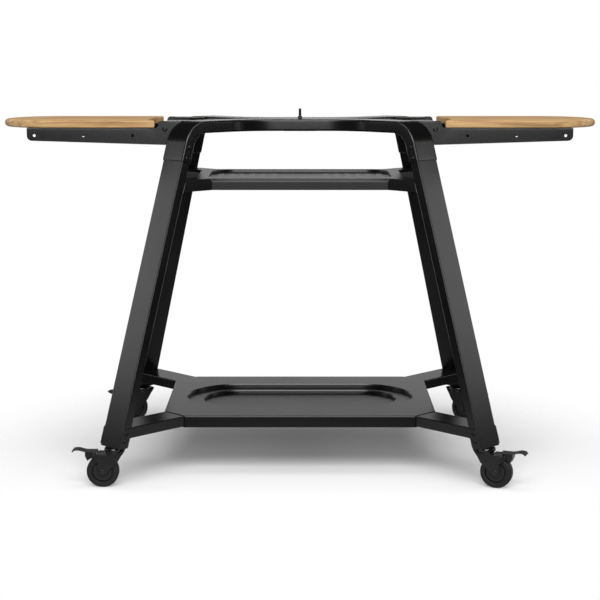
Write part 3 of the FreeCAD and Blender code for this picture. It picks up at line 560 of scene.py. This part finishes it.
build = bmesh.new()
rim = [mid_outline(mid_low, 0), mid_outline(mid_low + 0.0095, 0)]
edge_section = folded([(0, 0.02, 0), (0, mid_fold, 0.003), (mid_fold, 0, 0.0012), (0.02, 0, 0)])
rim += [mid_outline(mid_top - drop, inset) for inset, drop in edge_section]
rim_rows = skin(build, rim)
dish = []
recess_wall = folded([(-0.02, 0, 0), (0, 0, 0.0007), (0.0011, mid_recess, 0.0009), (0.02, mid_recess, 0)])
for inset, drop in recess_wall:
    trim = 2 * (inset - 0.0005)
    shape = rounded(recess_width - trim, recess_depth - trim, recess_corner - trim / 2, 14)
    dish.append(lifted(shape, mid_top - drop))
dish_rows = skin(build, dish)
fill(build, rim_rows[-1], dish_rows[0])
rib_feet = []
for side in (-1, 1):
    for k in range(6):
        middle = side * (rib_start + rib_pitch * k)
        rib = []
        for share in (0, 0.25, 0.5, 0.75, 1):
            shape = stadium(rib_half - 0.0012 * share, rib_reach, 8)
            z = mid_top - mid_recess + rib_height * (1 - math.cos(math.pi * share)) / 2
            rib.append([Vector((middle + y, -x, z)) for x, y in shape])
        rows = skin(build, rib)
        build.faces.new(rows[-1])
        rib_feet.append(rows[0])
fill(build, dish_rows[-1], *rib_feet)
shelf_powder = powder_coat("duller powder coat of the middle shelf", 0.27, 0.05)
finished("mid_shelf", build, shelf_powder, "stand", ["mid_shelf"], sheet=mid_sheet, outward=(0, 0, 1),
         angle=40)
flange = on_leg(0.6905) - leg_out * (leg_depth / 2 + mid_sheet)
screw_group("mid_shelf_screws", "mid_shelf_screws",
            [(flange + side_45 * across, -leg_out) for across in (-0.018, 0.018)], depth=0.007)


# Bottom shelf: a large pressed sheet with cut corners, a deep turned-down rim and a round-ended
# recess in two steps. Two drain holes go through its floor.

def rolled(radius, steps=5):
    # Inset and drop of a turned-down edge of that radius, from the wall up to the flat
    turns = [math.pi / 2 * k / steps for k in range(steps + 1)]
    return [(radius * (1 - math.cos(turn)), radius * (1 - math.sin(turn))) for turn in turns]


def vertices(build, points):
    # New vertices of the mesh, in the order of the points
    return [build.verts.new(point) for point in points]


base_top, base_low = 0.143, 0.115
base_half_x, base_half_y, corner_cut = 0.328, 0.231, 0.507
recess_reach, drain_radius = 0.146, 0.003
# Each step of the recess: half width, run of its wall, drop of the sloping part, whole drop
recess_steps = ((0.1395, 0.0018, 0.0034, 0.0079), (0.0975, 0.0016, 0.003, 0.0069))


def base_outline(inset):
    # The corners are cut where x + y makes corner_cut
    edge_x, edge_y = base_half_x - inset, base_half_y - inset
    total = corner_cut - inset * math.sqrt(2)
    bend = max(0.002, 0.005 - inset)
    return rounded_corners(whole_loop([(edge_x, total - edge_x, bend), (total - edge_y, edge_y, bend)]))


build = bmesh.new()
rim = [lifted(base_outline(0), base_low), lifted(base_outline(0), base_low + 0.011)]
rim += [lifted(base_outline(inset), base_top - drop) for inset, drop in rolled(0.003)]
rim_rows = skin(build, rim)
flat, level = rim_rows[-1], base_top
for half_width, run, slope, depth in recess_steps:
    wall = folded([(-0.02, 0, 0), (0, 0, 0.0004), (run, slope, 0.0003), (run, depth, 0.0003),
                   (0.02, depth, 0)])
    rings = [lifted(stadium(half_width - inset, recess_reach, 24), level - drop) for inset, drop in wall]
    rows = skin(build, rings)
    fill(build, flat, rows[0])
    flat, level = rows[-1], level - depth
holes = []
for side in (-1, 1):
    middle = Matrix.Translation((side * recess_reach, 0, level))
    holes.append(vertices(build, ring(drain_radius, 0, 20, middle)))
fill(build, flat, *holes)
finished("bottom_shelf", build, powder, "stand", ["bottom_shelf"], sheet=0.002, outward=(0, 0, 1), angle=40)


# Base arms: inverted U channels folded from 2 mm sheet. The closed end is screwed to a cut corner of
# the shelf; at the other end the side walls run on as ears over the leg and are bolted through it.

arm_half, arm_top, arm_low, arm_fold = 0.0365, 0.142, 0.1175, 0.0025
cut_line = corner_cut / math.sqrt(2)
arm_end = cut_line + 0.0014
ear_top, ear_low = arm_top - arm_fold, foot.z
near_face, far_face = -leg_depth / 2, leg_depth / 2
arm_wall = rounded_corners([
    (arm_end, arm_low, 0), (leg_side(arm_low, near_face), arm_low, 0.004),
    (leg_side(ear_low, near_face), ear_low, 0.001), (leg_side(ear_low, far_face), ear_low, 0.005),
    (leg_side(ear_top, far_face), ear_top, 0.006), (leg_side(ear_top, near_face), ear_top, 0),
    (arm_end, ear_top, 0)])
fold = [(arm_half - inset, arm_top - drop) for inset, drop in rolled(arm_fold)[1:]]
for corner, (sx, sy) in quadrants.items():
    build = bmesh.new()
    walls = []
    for side in (-1, 1):
        walls.append(vertices(build, [leg_place(s, side * arm_half, z) for s, z in arm_wall]))
        fill(build, walls[-1])
    rows = [[walls[0][-1], walls[0][-2]]]
    for across, z in [(-across, z) for across, z in fold] + fold[::-1]:
        rows.append([leg_place(arm_end, across, z), leg_place(leg_side(z, near_face), across, z)])
    rows = skin(build, rows + [[walls[1][-1], walls[1][-2]]], closed=False)
    build.faces.new([walls[0][0]] + [row[0] for row in rows] + [walls[1][0]])
    quadrant(build, sx, sy)
    finished(corner + "_base_arm", build, powder, "stand", [corner + "_base_arm"], sheet=0.0019,
             outward=(0, 0, 1), angle=14)
screw_group("ear_bolts", "base_arm_screws",
            through_leg([on_leg(z) for z in (0.129, 0.111)], arm_half), depth=0.014)
screw_group("arm_end_screws", "base_shelf_screws",
            [(leg_place(cut_line + 0.002, across, 0.129), out_45) for across in (-0.022, 0.022)], depth=0.008)


# Side boards: solid oiled hardwood, 18 mm thick, glued up from long staves, with a half-round outer
# end, a hollow inner end that clears the oven and hand-rounded edges.

wood, start, place = surface("oiled acacia boards")
axes = start.node("SeparateXYZ", {"Vector": place})
along_x, along_y, upward = axes, axes.sibling("Y"), axes.sibling("Z")
stave_width, stave_offset = 0.0445, 0.31
staves = along_y / stave_width + stave_offset
shift = start.node("TexWhiteNoise", {"W": start.maths("FLOOR", staves) * 7.31}, output="Value",
                   noise_dimensions="1D")
warp = noise(place, 7.0, 2.0)
spread = start.node("CombineXYZ", {
    "X": along_x + shift * 3.0,
    "Y": (along_y + warp * 0.02) * 14.0 + shift * 9.0,
    "Z": (upward + warp * 0.006) * 14.0,
})
year_rings = start.node("TexNoise", {"Vector": spread, "Scale": 6.0, "Detail": 4.0, "Roughness": 0.55,
                                     "Distortion": 0.6})
fibre_place = start.node("CombineXYZ", {"X": along_x * 12.0, "Y": along_y * 420.0, "Z": upward * 420.0})
fibre = noise(fibre_place, 2.2, 4.0, 0.7)
streak_place = start.node("CombineXYZ", {"X": along_x * 2.2 + shift * 5.0, "Y": along_y * 60.0,
                                         "Z": upward * 60.0})
streak = noise(streak_place, 2.0, 3.0, 0.6)
band = start.maths("SMOOTH_MIN", year_rings * 2.2 - 0.6, 1.0, 0.2)
streaked = start.maths("SMOOTH_MAX", (streak - 0.53) * 4.2, 0.0, 0.1)
pored = start.maths("SMOOTH_MAX", (fibre - 0.6) * 2.0, 0.0, 0.05)
from_middle = start.maths("ABSOLUTE", start.maths("FRACT", staves) - 0.5)
seam = (0.5 - from_middle) < 0.006
tone = mix(start, band, (0.33, 0.165, 0.066), (0.66, 0.43, 0.2))
tone = mix(start, shift * 0.55, tone, (0.78, 0.55, 0.28))
tone = mix(start, streaked, tone, (0.22, 0.11, 0.045))
tone = mix(start, pored, tone, (0.2, 0.1, 0.045))
relief = fibre * 0.6 + year_rings * 0.4 - seam * 0.6
coat(start, {
    "Base Color": mix(start, seam * 0.5, tone, (0.16, 0.085, 0.04)),
    "Roughness": 0.56 + 0.16 * fibre,
    "Specular IOR Level": 0.2,
    "Normal": start.node("Bump", {"Strength": 0.25, "Distance": 0.0004, "Height": relief}),
})


def inset_loop(loop, distance):
    # The loop moved inward by a distance along its corner normals (the loop runs anticlockwise)
    moved = []
    count = len(loop)
    for k, (x, y) in enumerate(loop):
        back = (Vector((x, y)) - Vector(loop[k - 1])).normalized()
        ahead = (Vector(loop[(k + 1) % count]) - Vector((x, y))).normalized()
        normal = Vector((-back.y - ahead.y, back.x + ahead.x))
        normal.normalize()
        stretch = max(0.5, normal.dot(Vector((-ahead.y, ahead.x))))
        moved.append((x + normal.x * distance / stretch, y + normal.y * distance / stretch))
    return moved


def arc(centre, radius, start_turn, end_turn, steps):
    # Points of an arc, with no corner radius of their own
    turns = [start_turn + (end_turn - start_turn) * k / steps for k in range(steps + 1)]
    return [(centre[0] + radius * math.cos(turn), centre[1] + radius * math.sin(turn), 0) for turn in turns]


board_top, board_low, board_half = 0.84, 0.822, 0.133
outer_end, inner_end = 0.5914, 0.3448
hollow, sweep = math.hypot(inner_end, board_half), math.atan2(board_half, inner_end)
outline = rounded_corners(
    arc((outer_end, 0), board_half, -math.pi / 2, math.pi / 2, 48)
    + [(inner_end, board_half, 0.004)]
    + arc((0, 0), hollow, sweep * 11 / 12, -sweep * 11 / 12, 22)
    + [(inner_end, -board_half, 0.004)])


def edge_radius(x):
    # The edges are rounded 3.9 mm, and more towards the tip of the outer end
    return 0.0039 + 0.0044 * max(0, min(1, (x - 0.66) / 0.06)) ** 1.5


for name, flip in (("right_board", 1), ("left_board", -1)):
    build = bmesh.new()
    rings = []
    quarter = rolled(1, 6)
    for level, inward_up, section in ((board_low, 1, quarter[::-1]), (board_top, -1, quarter)):
        for inset, drop in section:
            points = []
            for (x, y), (in_x, in_y) in zip(outline, inset_loop(outline, 1)):
                run, rise = inset * edge_radius(x), drop * edge_radius(x)
                points.append(Vector((x + (in_x - x) * run, y + (in_y - y) * run, level + inward_up * rise)))
            rings.append(points)
    rows = skin(build, rings)
    fill(build, rows[0])
    fill(build, rows[-1])
    for v in build.verts:
        v.co.x *= flip
    finished(name, build, wood, "stand", [name], angle=50)


# Brackets: angles folded from 2.5 mm sheet under the long edges of the boards. Each has a seat
# flange under the board, a raised inner end with a top flange, a tab folded at 45 degrees against
# the side of the hoop, and three round holes for tool hooks.

web_y, web_start, web_end = 0.131, 0.28076, 0.6512
hole_places, hole_height, hole_radius = (0.6335, 0.5166, 0.3997), 0.804, 0.0035
seat_start, seat_end, seat_top = 0.36, 0.65, board_low
crest_start, crest_end, crest_top = 0.282, 0.318, 0.839
bracket_fold, bracket_sheet = 0.003, 0.0025
tab_ends = (0.23052, 0.28992)
tube_side = tube_width / 2
step_x = 0.3375
seat_fold, crest_fold = seat_top - bracket_fold, crest_top - bracket_fold
upright = Matrix.Rotation(math.radians(90), 4, "X")
web_shape = rounded_corners([
    (web_start, 0.781, 0.003), (0.328, 0.782, 0.06), (web_end, 0.792, 0.012), (web_end, seat_top, 0),
    (seat_end, seat_top, 0), (seat_end, seat_fold, 0), (seat_start, seat_fold, 0), (seat_start, seat_top, 0),
    (step_x, seat_top, 0.008), (step_x, crest_top, 0.008), (crest_end, crest_top, 0),
    (crest_end, crest_fold, 0), (crest_start, crest_fold, 0), (web_start, crest_fold, 0)])


def fold_in(build, web, ends, top):
    # Bends the web's upper edge between two places along X inward to a height; gives the bend's last row
    rows = [[min(web, key=lambda v: (v.co - Vector((x, web_y, top - bracket_fold))).length) for x in ends]]
    for inset, drop in rolled(bracket_fold)[1:]:
        rows.append([Vector((x, web_y - inset, top - drop)) for x in ends])
    return skin(build, rows, closed=False)[-1]


def flange_from(build, row, points, place):
    # Flat flange from a bend's last row round the rest of its outline; gives its new vertices
    rest = vertices(build, [place(x, y) for x, y in rounded_corners(points)])
    fill(build, row + rest)
    return rest


for corner, (sx, sy) in quadrants.items():
    build = bmesh.new()
    web = vertices(build, [(x, web_y, z) for x, z in web_shape])
    holes = []
    for x in hole_places:
        middle = Matrix.Translation((x, web_y, hole_height)) @ upright
        holes.append(vertices(build, ring(hole_radius, 0, 24, middle)))
    fill(build, web, *holes)
    seat = fold_in(build, web, (seat_start, seat_end), seat_top)
    flange_from(build, seat, [(seat_end, 0.12, 0), (seat_end, 0.101, 0.005), (seat_start, 0.101, 0.005),
                              (seat_start, 0.12, 0)], lambda x, y: (x, y, seat_top))
    crest = fold_in(build, web, (crest_start, crest_end), crest_top)
    tab_start = leg_place(tab_ends[0], -tube_side - bracket_fold, crest_top)
    free = flange_from(build, crest, [(crest_end, 0.12, 0), (crest_end, 0.086, 0.005), (0.246, 0.086, 0),
                                      (tab_start.x, tab_start.y, 0)], lambda x, y: (x, y, crest_top))
    tab = [[free[-1], crest[0]]]
    for inset, drop in rolled(bracket_fold)[1:]:
        tab.append([leg_place(s, -tube_side - drop, crest_top - inset) for s in tab_ends])
    tab = skin(build, tab, closed=False)[-1]
    near, far = tab_ends
    flange_from(build, tab, [(far, 0.826, 0), (far, 0.816, 0.005), (near, 0.816, 0.005), (near, 0.826, 0)],
                lambda s, z: leg_place(s, -tube_side, z))
    quadrant(build, sx, sy)
    finished(corner + "_bracket", build, powder, "stand", [corner + "_bracket"], sheet=bracket_sheet,
             outward=(0, sy, 0), angle=16)
screw_group("bracket_screws", "bracket_screws",
            [(leg_place(s, -tube_side - bracket_sheet, rail), -side_45) for s in (0.24, 0.266)], depth=0.01)
screw_group("board_screws", "board_screws",
            [((x, 0.113, board_low - bracket_sheet), (0, 0, -1)) for x in (0.38, 0.5, 0.62)],
            radius=0.0038, shank=0.002, depth=0.013)


# Tie bars: 12 mm steel rods between the two brackets of a board, tapped at both ends, powder coated
# and held by one screw through each bracket.

bar_x, bar_height, bar_length, bar_radius, bar_bore = 0.3225, 0.819, 0.257, 0.006, 0.0032
half_bar = [(0, 0.017), (bar_bore, 0.017), (bar_bore, 0), (bar_radius - 0.0005, 0), (bar_radius, 0.0005)]
whole_bar = half_bar + [(r, bar_length - z) for r, z in reversed(half_bar)]
for name, flip in (("right_tie_bar", 1), ("left_tie_bar", -1)):
    build = bmesh.new()
    lathe(build, whole_bar, 32, along((flip * bar_x, -bar_length / 2, bar_height), (0, 1, 0)))
    finished(name, build, powder, "stand", [name])
screw_group("tie_bar_screws", "tie_bar_screws", [((bar_x, web_y, bar_height), (0, 1, 0))], depth=0.016)


# Castor stems: a 10 mm steel stem pushed into the leg's insert, riveted into the upper cup of the
# ball race and dark zinc plated with it. The four castors stand at the headings of the photo.

castors = {}
for corner, heading in (("rear_right", -45), ("rear_left", 208), ("front_right", -22), ("front_left", 180)):
    sx, sy = quadrants[corner]
    middle = Matrix.Translation((sx * foot.x, sy * foot.y, 0))
    castors[corner] = middle @ Matrix.Rotation(math.radians(heading), 4, "Z")

cup_steel = plated("dark zinc plated castor cup", grey(0.06), grey(0.1))

kingpin = [(0, 0.0738), (0.0055, 0.0738), (0.0074, 0.0743), (0.008, 0.0752), (0.008, 0.0765), (0.005, 0.0765)]
cup = [(0.005, 0.084), (0.019, 0.084), (0.0206, 0.0848), (0.0216, 0.086), (0.0223, 0.0874),
       (0.0225, 0.0885), (0.0225, 0.0905), (0.0222, 0.0917), (0.0214, 0.0928), (0.0203, 0.0936),
       (0.0188, 0.094), (0.0116, 0.094)]
stem = [(0.011, 0.0934), (0.0096, 0.0934), (0.009, 0.094), (0.009, 0.095), (0.005, 0.095), (0.005, 0.1078),
        (0.0044, 0.1085), (0, 0.1085)]
for corner, turned in castors.items():
    build = bmesh.new()
    lathe(build, kingpin + cup + stem, 72, turned)
    finished(corner + "_castor_stem", build, cup_steel, "stand", [corner + "_castor_mount"],
             angle=40)


# Castor forks: two cheeks, a crown and a curved rear wall pressed from 2.4 mm steel sheet and
# e-coated dark grey. The cheeks are raised round the axle behind and run low towards the pedal.

fork_paint = mottled("dark grey e-coated steel", grey(0.008), grey(0.014), (75.0, 4.0), (0.3, 0.1),
                     (0.1, 0.0002), (1500.0, 2.0))


def slab(build, shape, low, high, matrix, soften):
    # Closed plate from a flat outline between two heights, with softened edges
    rings = []
    for z, trim in ((low, soften), (low + soften, 0), (high - soften, 0), (high, soften)):
        rings.append([matrix @ Vector((x, y, z)) for x, y in inset_loop(shape, trim)])
    rows = skin(build, rings)
    fill(build, rows[0])
    fill(build, rows[-1])


def tangent_turn(centre, radius, point, side):
    # Direction from the centre at which a line from a point touches the circle
    dx, dy = point[0] - centre[0], point[1] - centre[1]
    return math.atan2(dy, dx) + side * math.acos(radius / math.hypot(dx, dy))


wheel_middle, pin_middle = (0.026, 0.0375), (0.047, 0.075)
boss, ear, cheek_sheet, cheek_inside = 0.0085, 0.005, 0.0024, 0.0145
back, front = (-0.009, 0.06), (0.036, 0.0585)
boss_start = tangent_turn(wheel_middle, boss, back, 1)
boss_end = tangent_turn(wheel_middle, boss, front, -1) + 2 * math.pi
ear_start = tangent_turn(pin_middle, ear, front, 1) - 2 * math.pi
cheek = rounded_corners(
    [(-0.013, 0.0831, 0.004), (-0.0242, 0.0915, 0.002), (-0.0275, 0.0915, 0.002), (*back, 0.006)]
    + arc(wheel_middle, boss, boss_start, boss_end, 20)
    + [(*front, 0.006)]
    + arc(pin_middle, ear, ear_start, math.radians(120), 12)
    + [(0.016, 0.0789, 0.004), (0.009, 0.083, 0.003)])
crown = rounded_corners([(-0.0185, -0.0168, 0), (0.0395, -0.0168, 0.002), (0.0395, 0.0168, 0.002),
                         (-0.0185, 0.0168, 0)])
rear_wall = rounded_corners([
    (-0.0174, 0.077, 0), (-0.0252, 0.089, 0.002), (-0.0254, 0.0914, 0.0006), (-0.0276, 0.0914, 0.001),
    (-0.0275, 0.0895, 0.002), (-0.0266, 0.0875, 0.002), (-0.0196, 0.077, 0)])
for corner, turned in castors.items():
    build = bmesh.new()
    for low in (-cheek_inside - cheek_sheet, cheek_inside):
        slab(build, cheek, low, low + cheek_sheet, turned @ upright, 0.0004)
    slab(build, crown, 0.0768, 0.079, turned, 0.0004)
    slab(build, rear_wall, -0.0167, 0.0167, turned @ upright, 0.0003)
    finished(corner + "_castor_fork", build, fork_paint, corner + "_swivel", [corner + "_castor_fork"],
             angle=40)


# Castor heads: the lower ring of the ball race, pressed onto the crown of the fork, and the pin
# riveted across the ears, on which the brake pedal rocks. Both are painted with the fork.

def cross_axis(turned, middle):
    # Matrix whose own Z runs across the castor through a place at its side
    return turned @ Matrix.Translation((middle[0], 0, middle[1])) @ Matrix.Rotation(math.radians(-90), 4, "X")


race = [(0.0053, 0.0775), (0.0186, 0.0775), (0.019, 0.0785), (0.019, 0.0822), (0.0186, 0.083),
        (0.0178, 0.0835), (0.0168, 0.0836), (0.0053, 0.0836), (0.0053, 0.0775)]
half_pin = [(0.0025, 0.0168), (0.0034, 0.0168), (0.0032, 0.0175), (0.002, 0.0178), (0, 0.0178)]
for corner, turned in castors.items():
    build = bmesh.new()
    lathe(build, race, 56, turned)
    lathe(build, [(r, -z) for r, z in reversed(half_pin)] + half_pin, 24, cross_axis(turned, pin_middle))
    finished(corner + "_castor_head", build, fork_paint, corner + "_swivel", [], angle=40)


# Axles: a steel rivet through both cheeks and the wheel, with a domed head at each end, painted
# with the fork.

axle_end = [(0, 0.0172), (0.0022, 0.0173), (0.0026, 0.0176), (0.0027, 0.0184), (0.003, 0.0185),
            (0.0048, 0.0185), (0.0055, 0.0181), (0.0058, 0.0175), (0.0058, 0.0169), (0.004, 0.0169)]
for corner, turned in castors.items():
    build = bmesh.new()
    lathe(build, axle_end + [(r, -z) for r, z in reversed(axle_end)], 40, cross_axis(turned, wheel_middle))
    finished(corner + "_axle", build, fork_paint, corner + "_swivel", [corner + "_castor_axle"],
             angle=40)


# Wheel centres: moulded from the same black nylon as the inserts, with a hub tube, a dished face
# and a rim that carries the tyre, alike on both sides.

hub_face = [(0.0042, 0), (0.0042, 0.0132), (0.0045, 0.0135), (0.0088, 0.0135), (0.0094, 0.013),
            (0.0096, 0.0104), (0.0102, 0.0101), (0.0128, 0.0101), (0.0132, 0.0095), (0.0142, 0.0095),
            (0.0146, 0.0101), (0.0206, 0.0104), (0.0212, 0.0102), (0.0215, 0.0096), (0.0216, 0.007),
            (0.022, 0.0066), (0.0246, 0.0065), (0.025, 0.006), (0.025, 0)]
for corner, turned in castors.items():
    build = bmesh.new()
    for side in (1, -1):
        lathe(build, [(r, side * z) for r, z in hub_face], 64, cross_axis(turned, wheel_middle))
    finished(corner + "_wheel_centre", build, nylon, corner + "_wheel", [corner + "_wheel_hub"],
             angle=40)


# Tyres: black rubber moulded round the wheel centre, 75 mm across and 24 mm wide, with rounded
# shoulders, a fine skin and light scuffs.

rubber, start, place = surface("black rubber tyre")
scuff = noise(place, 210.0, 5.0, 0.7)
relief = noise(place, 1900.0, 2.0) * 0.5 + scuff * 0.5
coat(start, {
    "Base Color": mix(start, scuff, grey(0.002), grey(0.005)),
    "Roughness": 0.55 + 0.15 * scuff,
    "Normal": start.node("Bump", {"Strength": 0.2, "Distance": 0.0002, "Height": relief}),
})

half_tyre = [(0.02505, 0), (0.02505, 0.0106), (0.0252, 0.0113), (0.0258, 0.0118), (0.0266, 0.012)]
half_tyre += [(r, z) for r, z, _ in arc((0.0325, 0.007), 0.005, math.pi / 2, 0, 8)]
half_tyre += [(0.0375, 0.0004), (0.0373, 0)]
whole_tyre = half_tyre + [(r, -z) for r, z in reversed(half_tyre[:-1])]
for corner, turned in castors.items():
    build = bmesh.new()
    lathe(build, whole_tyre, 96, cross_axis(turned, wheel_middle))
    finished(corner + "_tyre", build, rubber, corner + "_wheel", [corner + "_wheel_tyre"],
             angle=50)


# Brake levers: a pedal bent from steel plate with a hooked tip and a neck that reaches over the
# fork, lacquered a duller grey.

lever_paint = mottled("grey lacquered brake lever", grey(0.011), grey(0.022), (90.0, 4.0), (0.52, 0.14),
                      (0.08, 0.0002))

blade = rounded_corners([
    (0.038, 0.0841, 0), (0.062, 0.0841, 0.01), (0.0665, 0.0847, 0.01), (0.0805, 0.0881, 0.01),
    (0.086, 0.0884, 0.008), (0.0912, 0.0872, 0.005), (0.095, 0.0836, 0.0004), (0.0974, 0.0848, 0.0004),
    (0.0936, 0.0896, 0.005), (0.086, 0.0908, 0.012), (0.08, 0.0905, 0.012), (0.066, 0.0869, 0.01),
    (0.0615, 0.0863, 0.01), (0.038, 0.0863, 0)], 4)
neck = rounded_corners([(0.022, -0.007, 0.0015), (0.0415, -0.007, 0.0005), (0.0415, 0.007, 0.0005),
                        (0.022, 0.007, 0.0015)])
for corner, turned in castors.items():
    build = bmesh.new()
    slab(build, blade, -0.013, 0.013, turned @ upright, 0.0005)
    slab(build, neck, 0.0817, 0.0842, turned, 0.0005)
    finished(corner + "_brake_lever", build, lever_paint, corner + "_brake", [corner + "_brake_pedal"],
             angle=35)


# Brake cams: the steel block under each lever that turns with it on the pin and is pressed against
# the tyre. It is painted like the fork.

cam = rounded_corners([
    (0.047, 0.0845, 0), (0.0443, 0.0787, 0.002), (0.0426, 0.075, 0.003), (0.0443, 0.0716, 0.003),
    (0.0482, 0.0706, 0.002), (0.057, 0.0666, 0.002), (0.0605, 0.0628, 0.0012), (0.066, 0.0745, 0.002),
    (0.066, 0.0845, 0)], 4)
for corner, turned in castors.items():
    build = bmesh.new()
    slab(build, cam, -0.0127, 0.0127, turned @ upright, 0.0006)
    finished(corner + "_brake_cam", build, fork_paint, corner + "_brake", [], angle=40)


# Studio floor: a sheet of white paper that keeps the soft shadow and thins out into the white
# surround in a wide oval round the castors. It throws less light back than it shows the camera.

build = bmesh.new()
bmesh.ops.create_grid(build, x_segments=1, y_segments=1, size=2.2)
floor_data = bpy.data.meshes.new("studio_floor")
build.to_mesh(floor_data)
build.free()
floor = bpy.data.objects.new("studio_floor", floor_data)
bpy.context.scene.collection.objects.link(floor)
paper, start, place = surface("white studio floor")
axes = start.node("SeparateXYZ", {"Vector": place})
aside, deep = axes / 1.4, axes.sibling("Y") / 1.35
mottle = noise(place, 3.0, 2.0)
camera_ray = start.node("LightPath", output="Is Camera Ray")
paper_bounce = mix(start, mottle, grey(0.58), grey(0.61))
oval = {"Value": start.maths("SQRT", aside * aside + deep * deep), "From Min": 0.28, "From Max": 0.72,
        "To Min": 1.0, "To Max": 0.0}
coat(start, {
    "Base Color": mix(start, camera_ray, paper_bounce, (0.99, 0.99, 1.0)),
    "Roughness": 0.8,
    "Specular IOR Level": 0.0,
    "Alpha": start.node("MapRange", oval, interpolation_type="SMOOTHSTEP"),
    "Emission Color": mix(start, camera_ray, (0, 0, 0), (0.06, 0.06, 0.06)),
    "Emission Strength": 1.0,
})
floor_data.materials.append(paper)


# White surround: what the camera sees behind the stand is plain white. Reflections see it only low
# down behind the stand, so that the dark sides draw the edges of the black coat.

scene = bpy.context.scene
scene.view_settings.view_transform = "Standard"
world = bpy.data.worlds.new("white surround")
scene.world = world
world.use_nodes = True
world.node_tree.nodes.clear()
start = Value(world.node_tree)
direction = start.node("TexCoord", output="Generated")
sides = start.node("SeparateXYZ", {"Vector": direction})
rearward = {"Value": sides.sibling("Y"), "From Min": 0.3, "From Max": 0.65}
low_down = {"Value": sides.sibling("Z"), "From Min": 0.12, "From Max": 0.32, "To Min": 1.0, "To Max": 0.0}
behind = start.node("MapRange", rearward, interpolation_type="SMOOTHSTEP")
behind = behind * start.node("MapRange", low_down, interpolation_type="SMOOTHSTEP")
path = start.node("LightPath", output="Is Camera Ray")
mirrored = path.sibling("Is Glossy Ray") + path.sibling("Is Transmission Ray")
soft = path.sibling("Is Diffuse Ray")
strength = start.maths("MINIMUM", path + mirrored * behind + mirrored * 0.02 + soft * 0.12, 1.0)
light = start.node("Background", {"Color": (1, 1, 1, 1), "Strength": strength})
end = world.node_tree.nodes.new("ShaderNodeOutputWorld")
world.node_tree.links.new(light.socket, end.inputs["Surface"])


# Soft boxes: one overhead, two in front and one with a strip light at each side, hidden from the
# camera.

def soft_box(name, place, aim, width, height, level):
    # level is the brightness of the box's face
    data = bpy.data.lights.new(name, "AREA")
    data.shape = "RECTANGLE"
    data.size, data.size_y = width, height
    data.energy = level * math.pi * width * height
    lamp = bpy.data.objects.new(name, data)
    lamp.location = place
    lamp.rotation_euler = (Vector(aim) - Vector(place)).to_track_quat("-Z", "Y").to_euler()
    lamp.visible_camera = False
    scene.collection.objects.link(lamp)


soft_box("overhead soft box", (0, -0.22, 3.0), (0, -0.22, 0.4), 2.6, 1.1, 2.25)
soft_box("high front soft box", (0, -3.0, 3.0), (0, 0, 0.6), 3.4, 2.0, 6.0)
soft_box("low front soft box", (0, -5.2, 1.72), (0, 0, 0.9), 2.7, 1.7, 5.4)
for side in (-1, 1):
    soft_box("side soft box", (side * 3.3, 0.45, 1.25), (0, 0.15, 1.1), 1.5, 1.15, 1.9)
    soft_box("strip light", (side * 3.15, -1.25, 0.8), (0, 0, 0.7), 0.24, 1.4, 2.2)


# Camera: a long lens 3.9 m in front of the stand, 1 m above the floor and looking 9 degrees down,
# as found from the photo.

focal_pixels, photo_pixels = 1566, 600
camera = bpy.data.objects.new("camera", bpy.data.cameras.new("camera"))
camera.data.sensor_width = 36
camera.data.lens = focal_pixels / photo_pixels * camera.data.sensor_width
camera.data.clip_end = 60
camera.location = (0, -3.8783, 1.0033)
camera.rotation_euler = (math.pi / 2 - 0.1577, 0, 0)
scene.collection.objects.link(camera)
scene.camera = camera
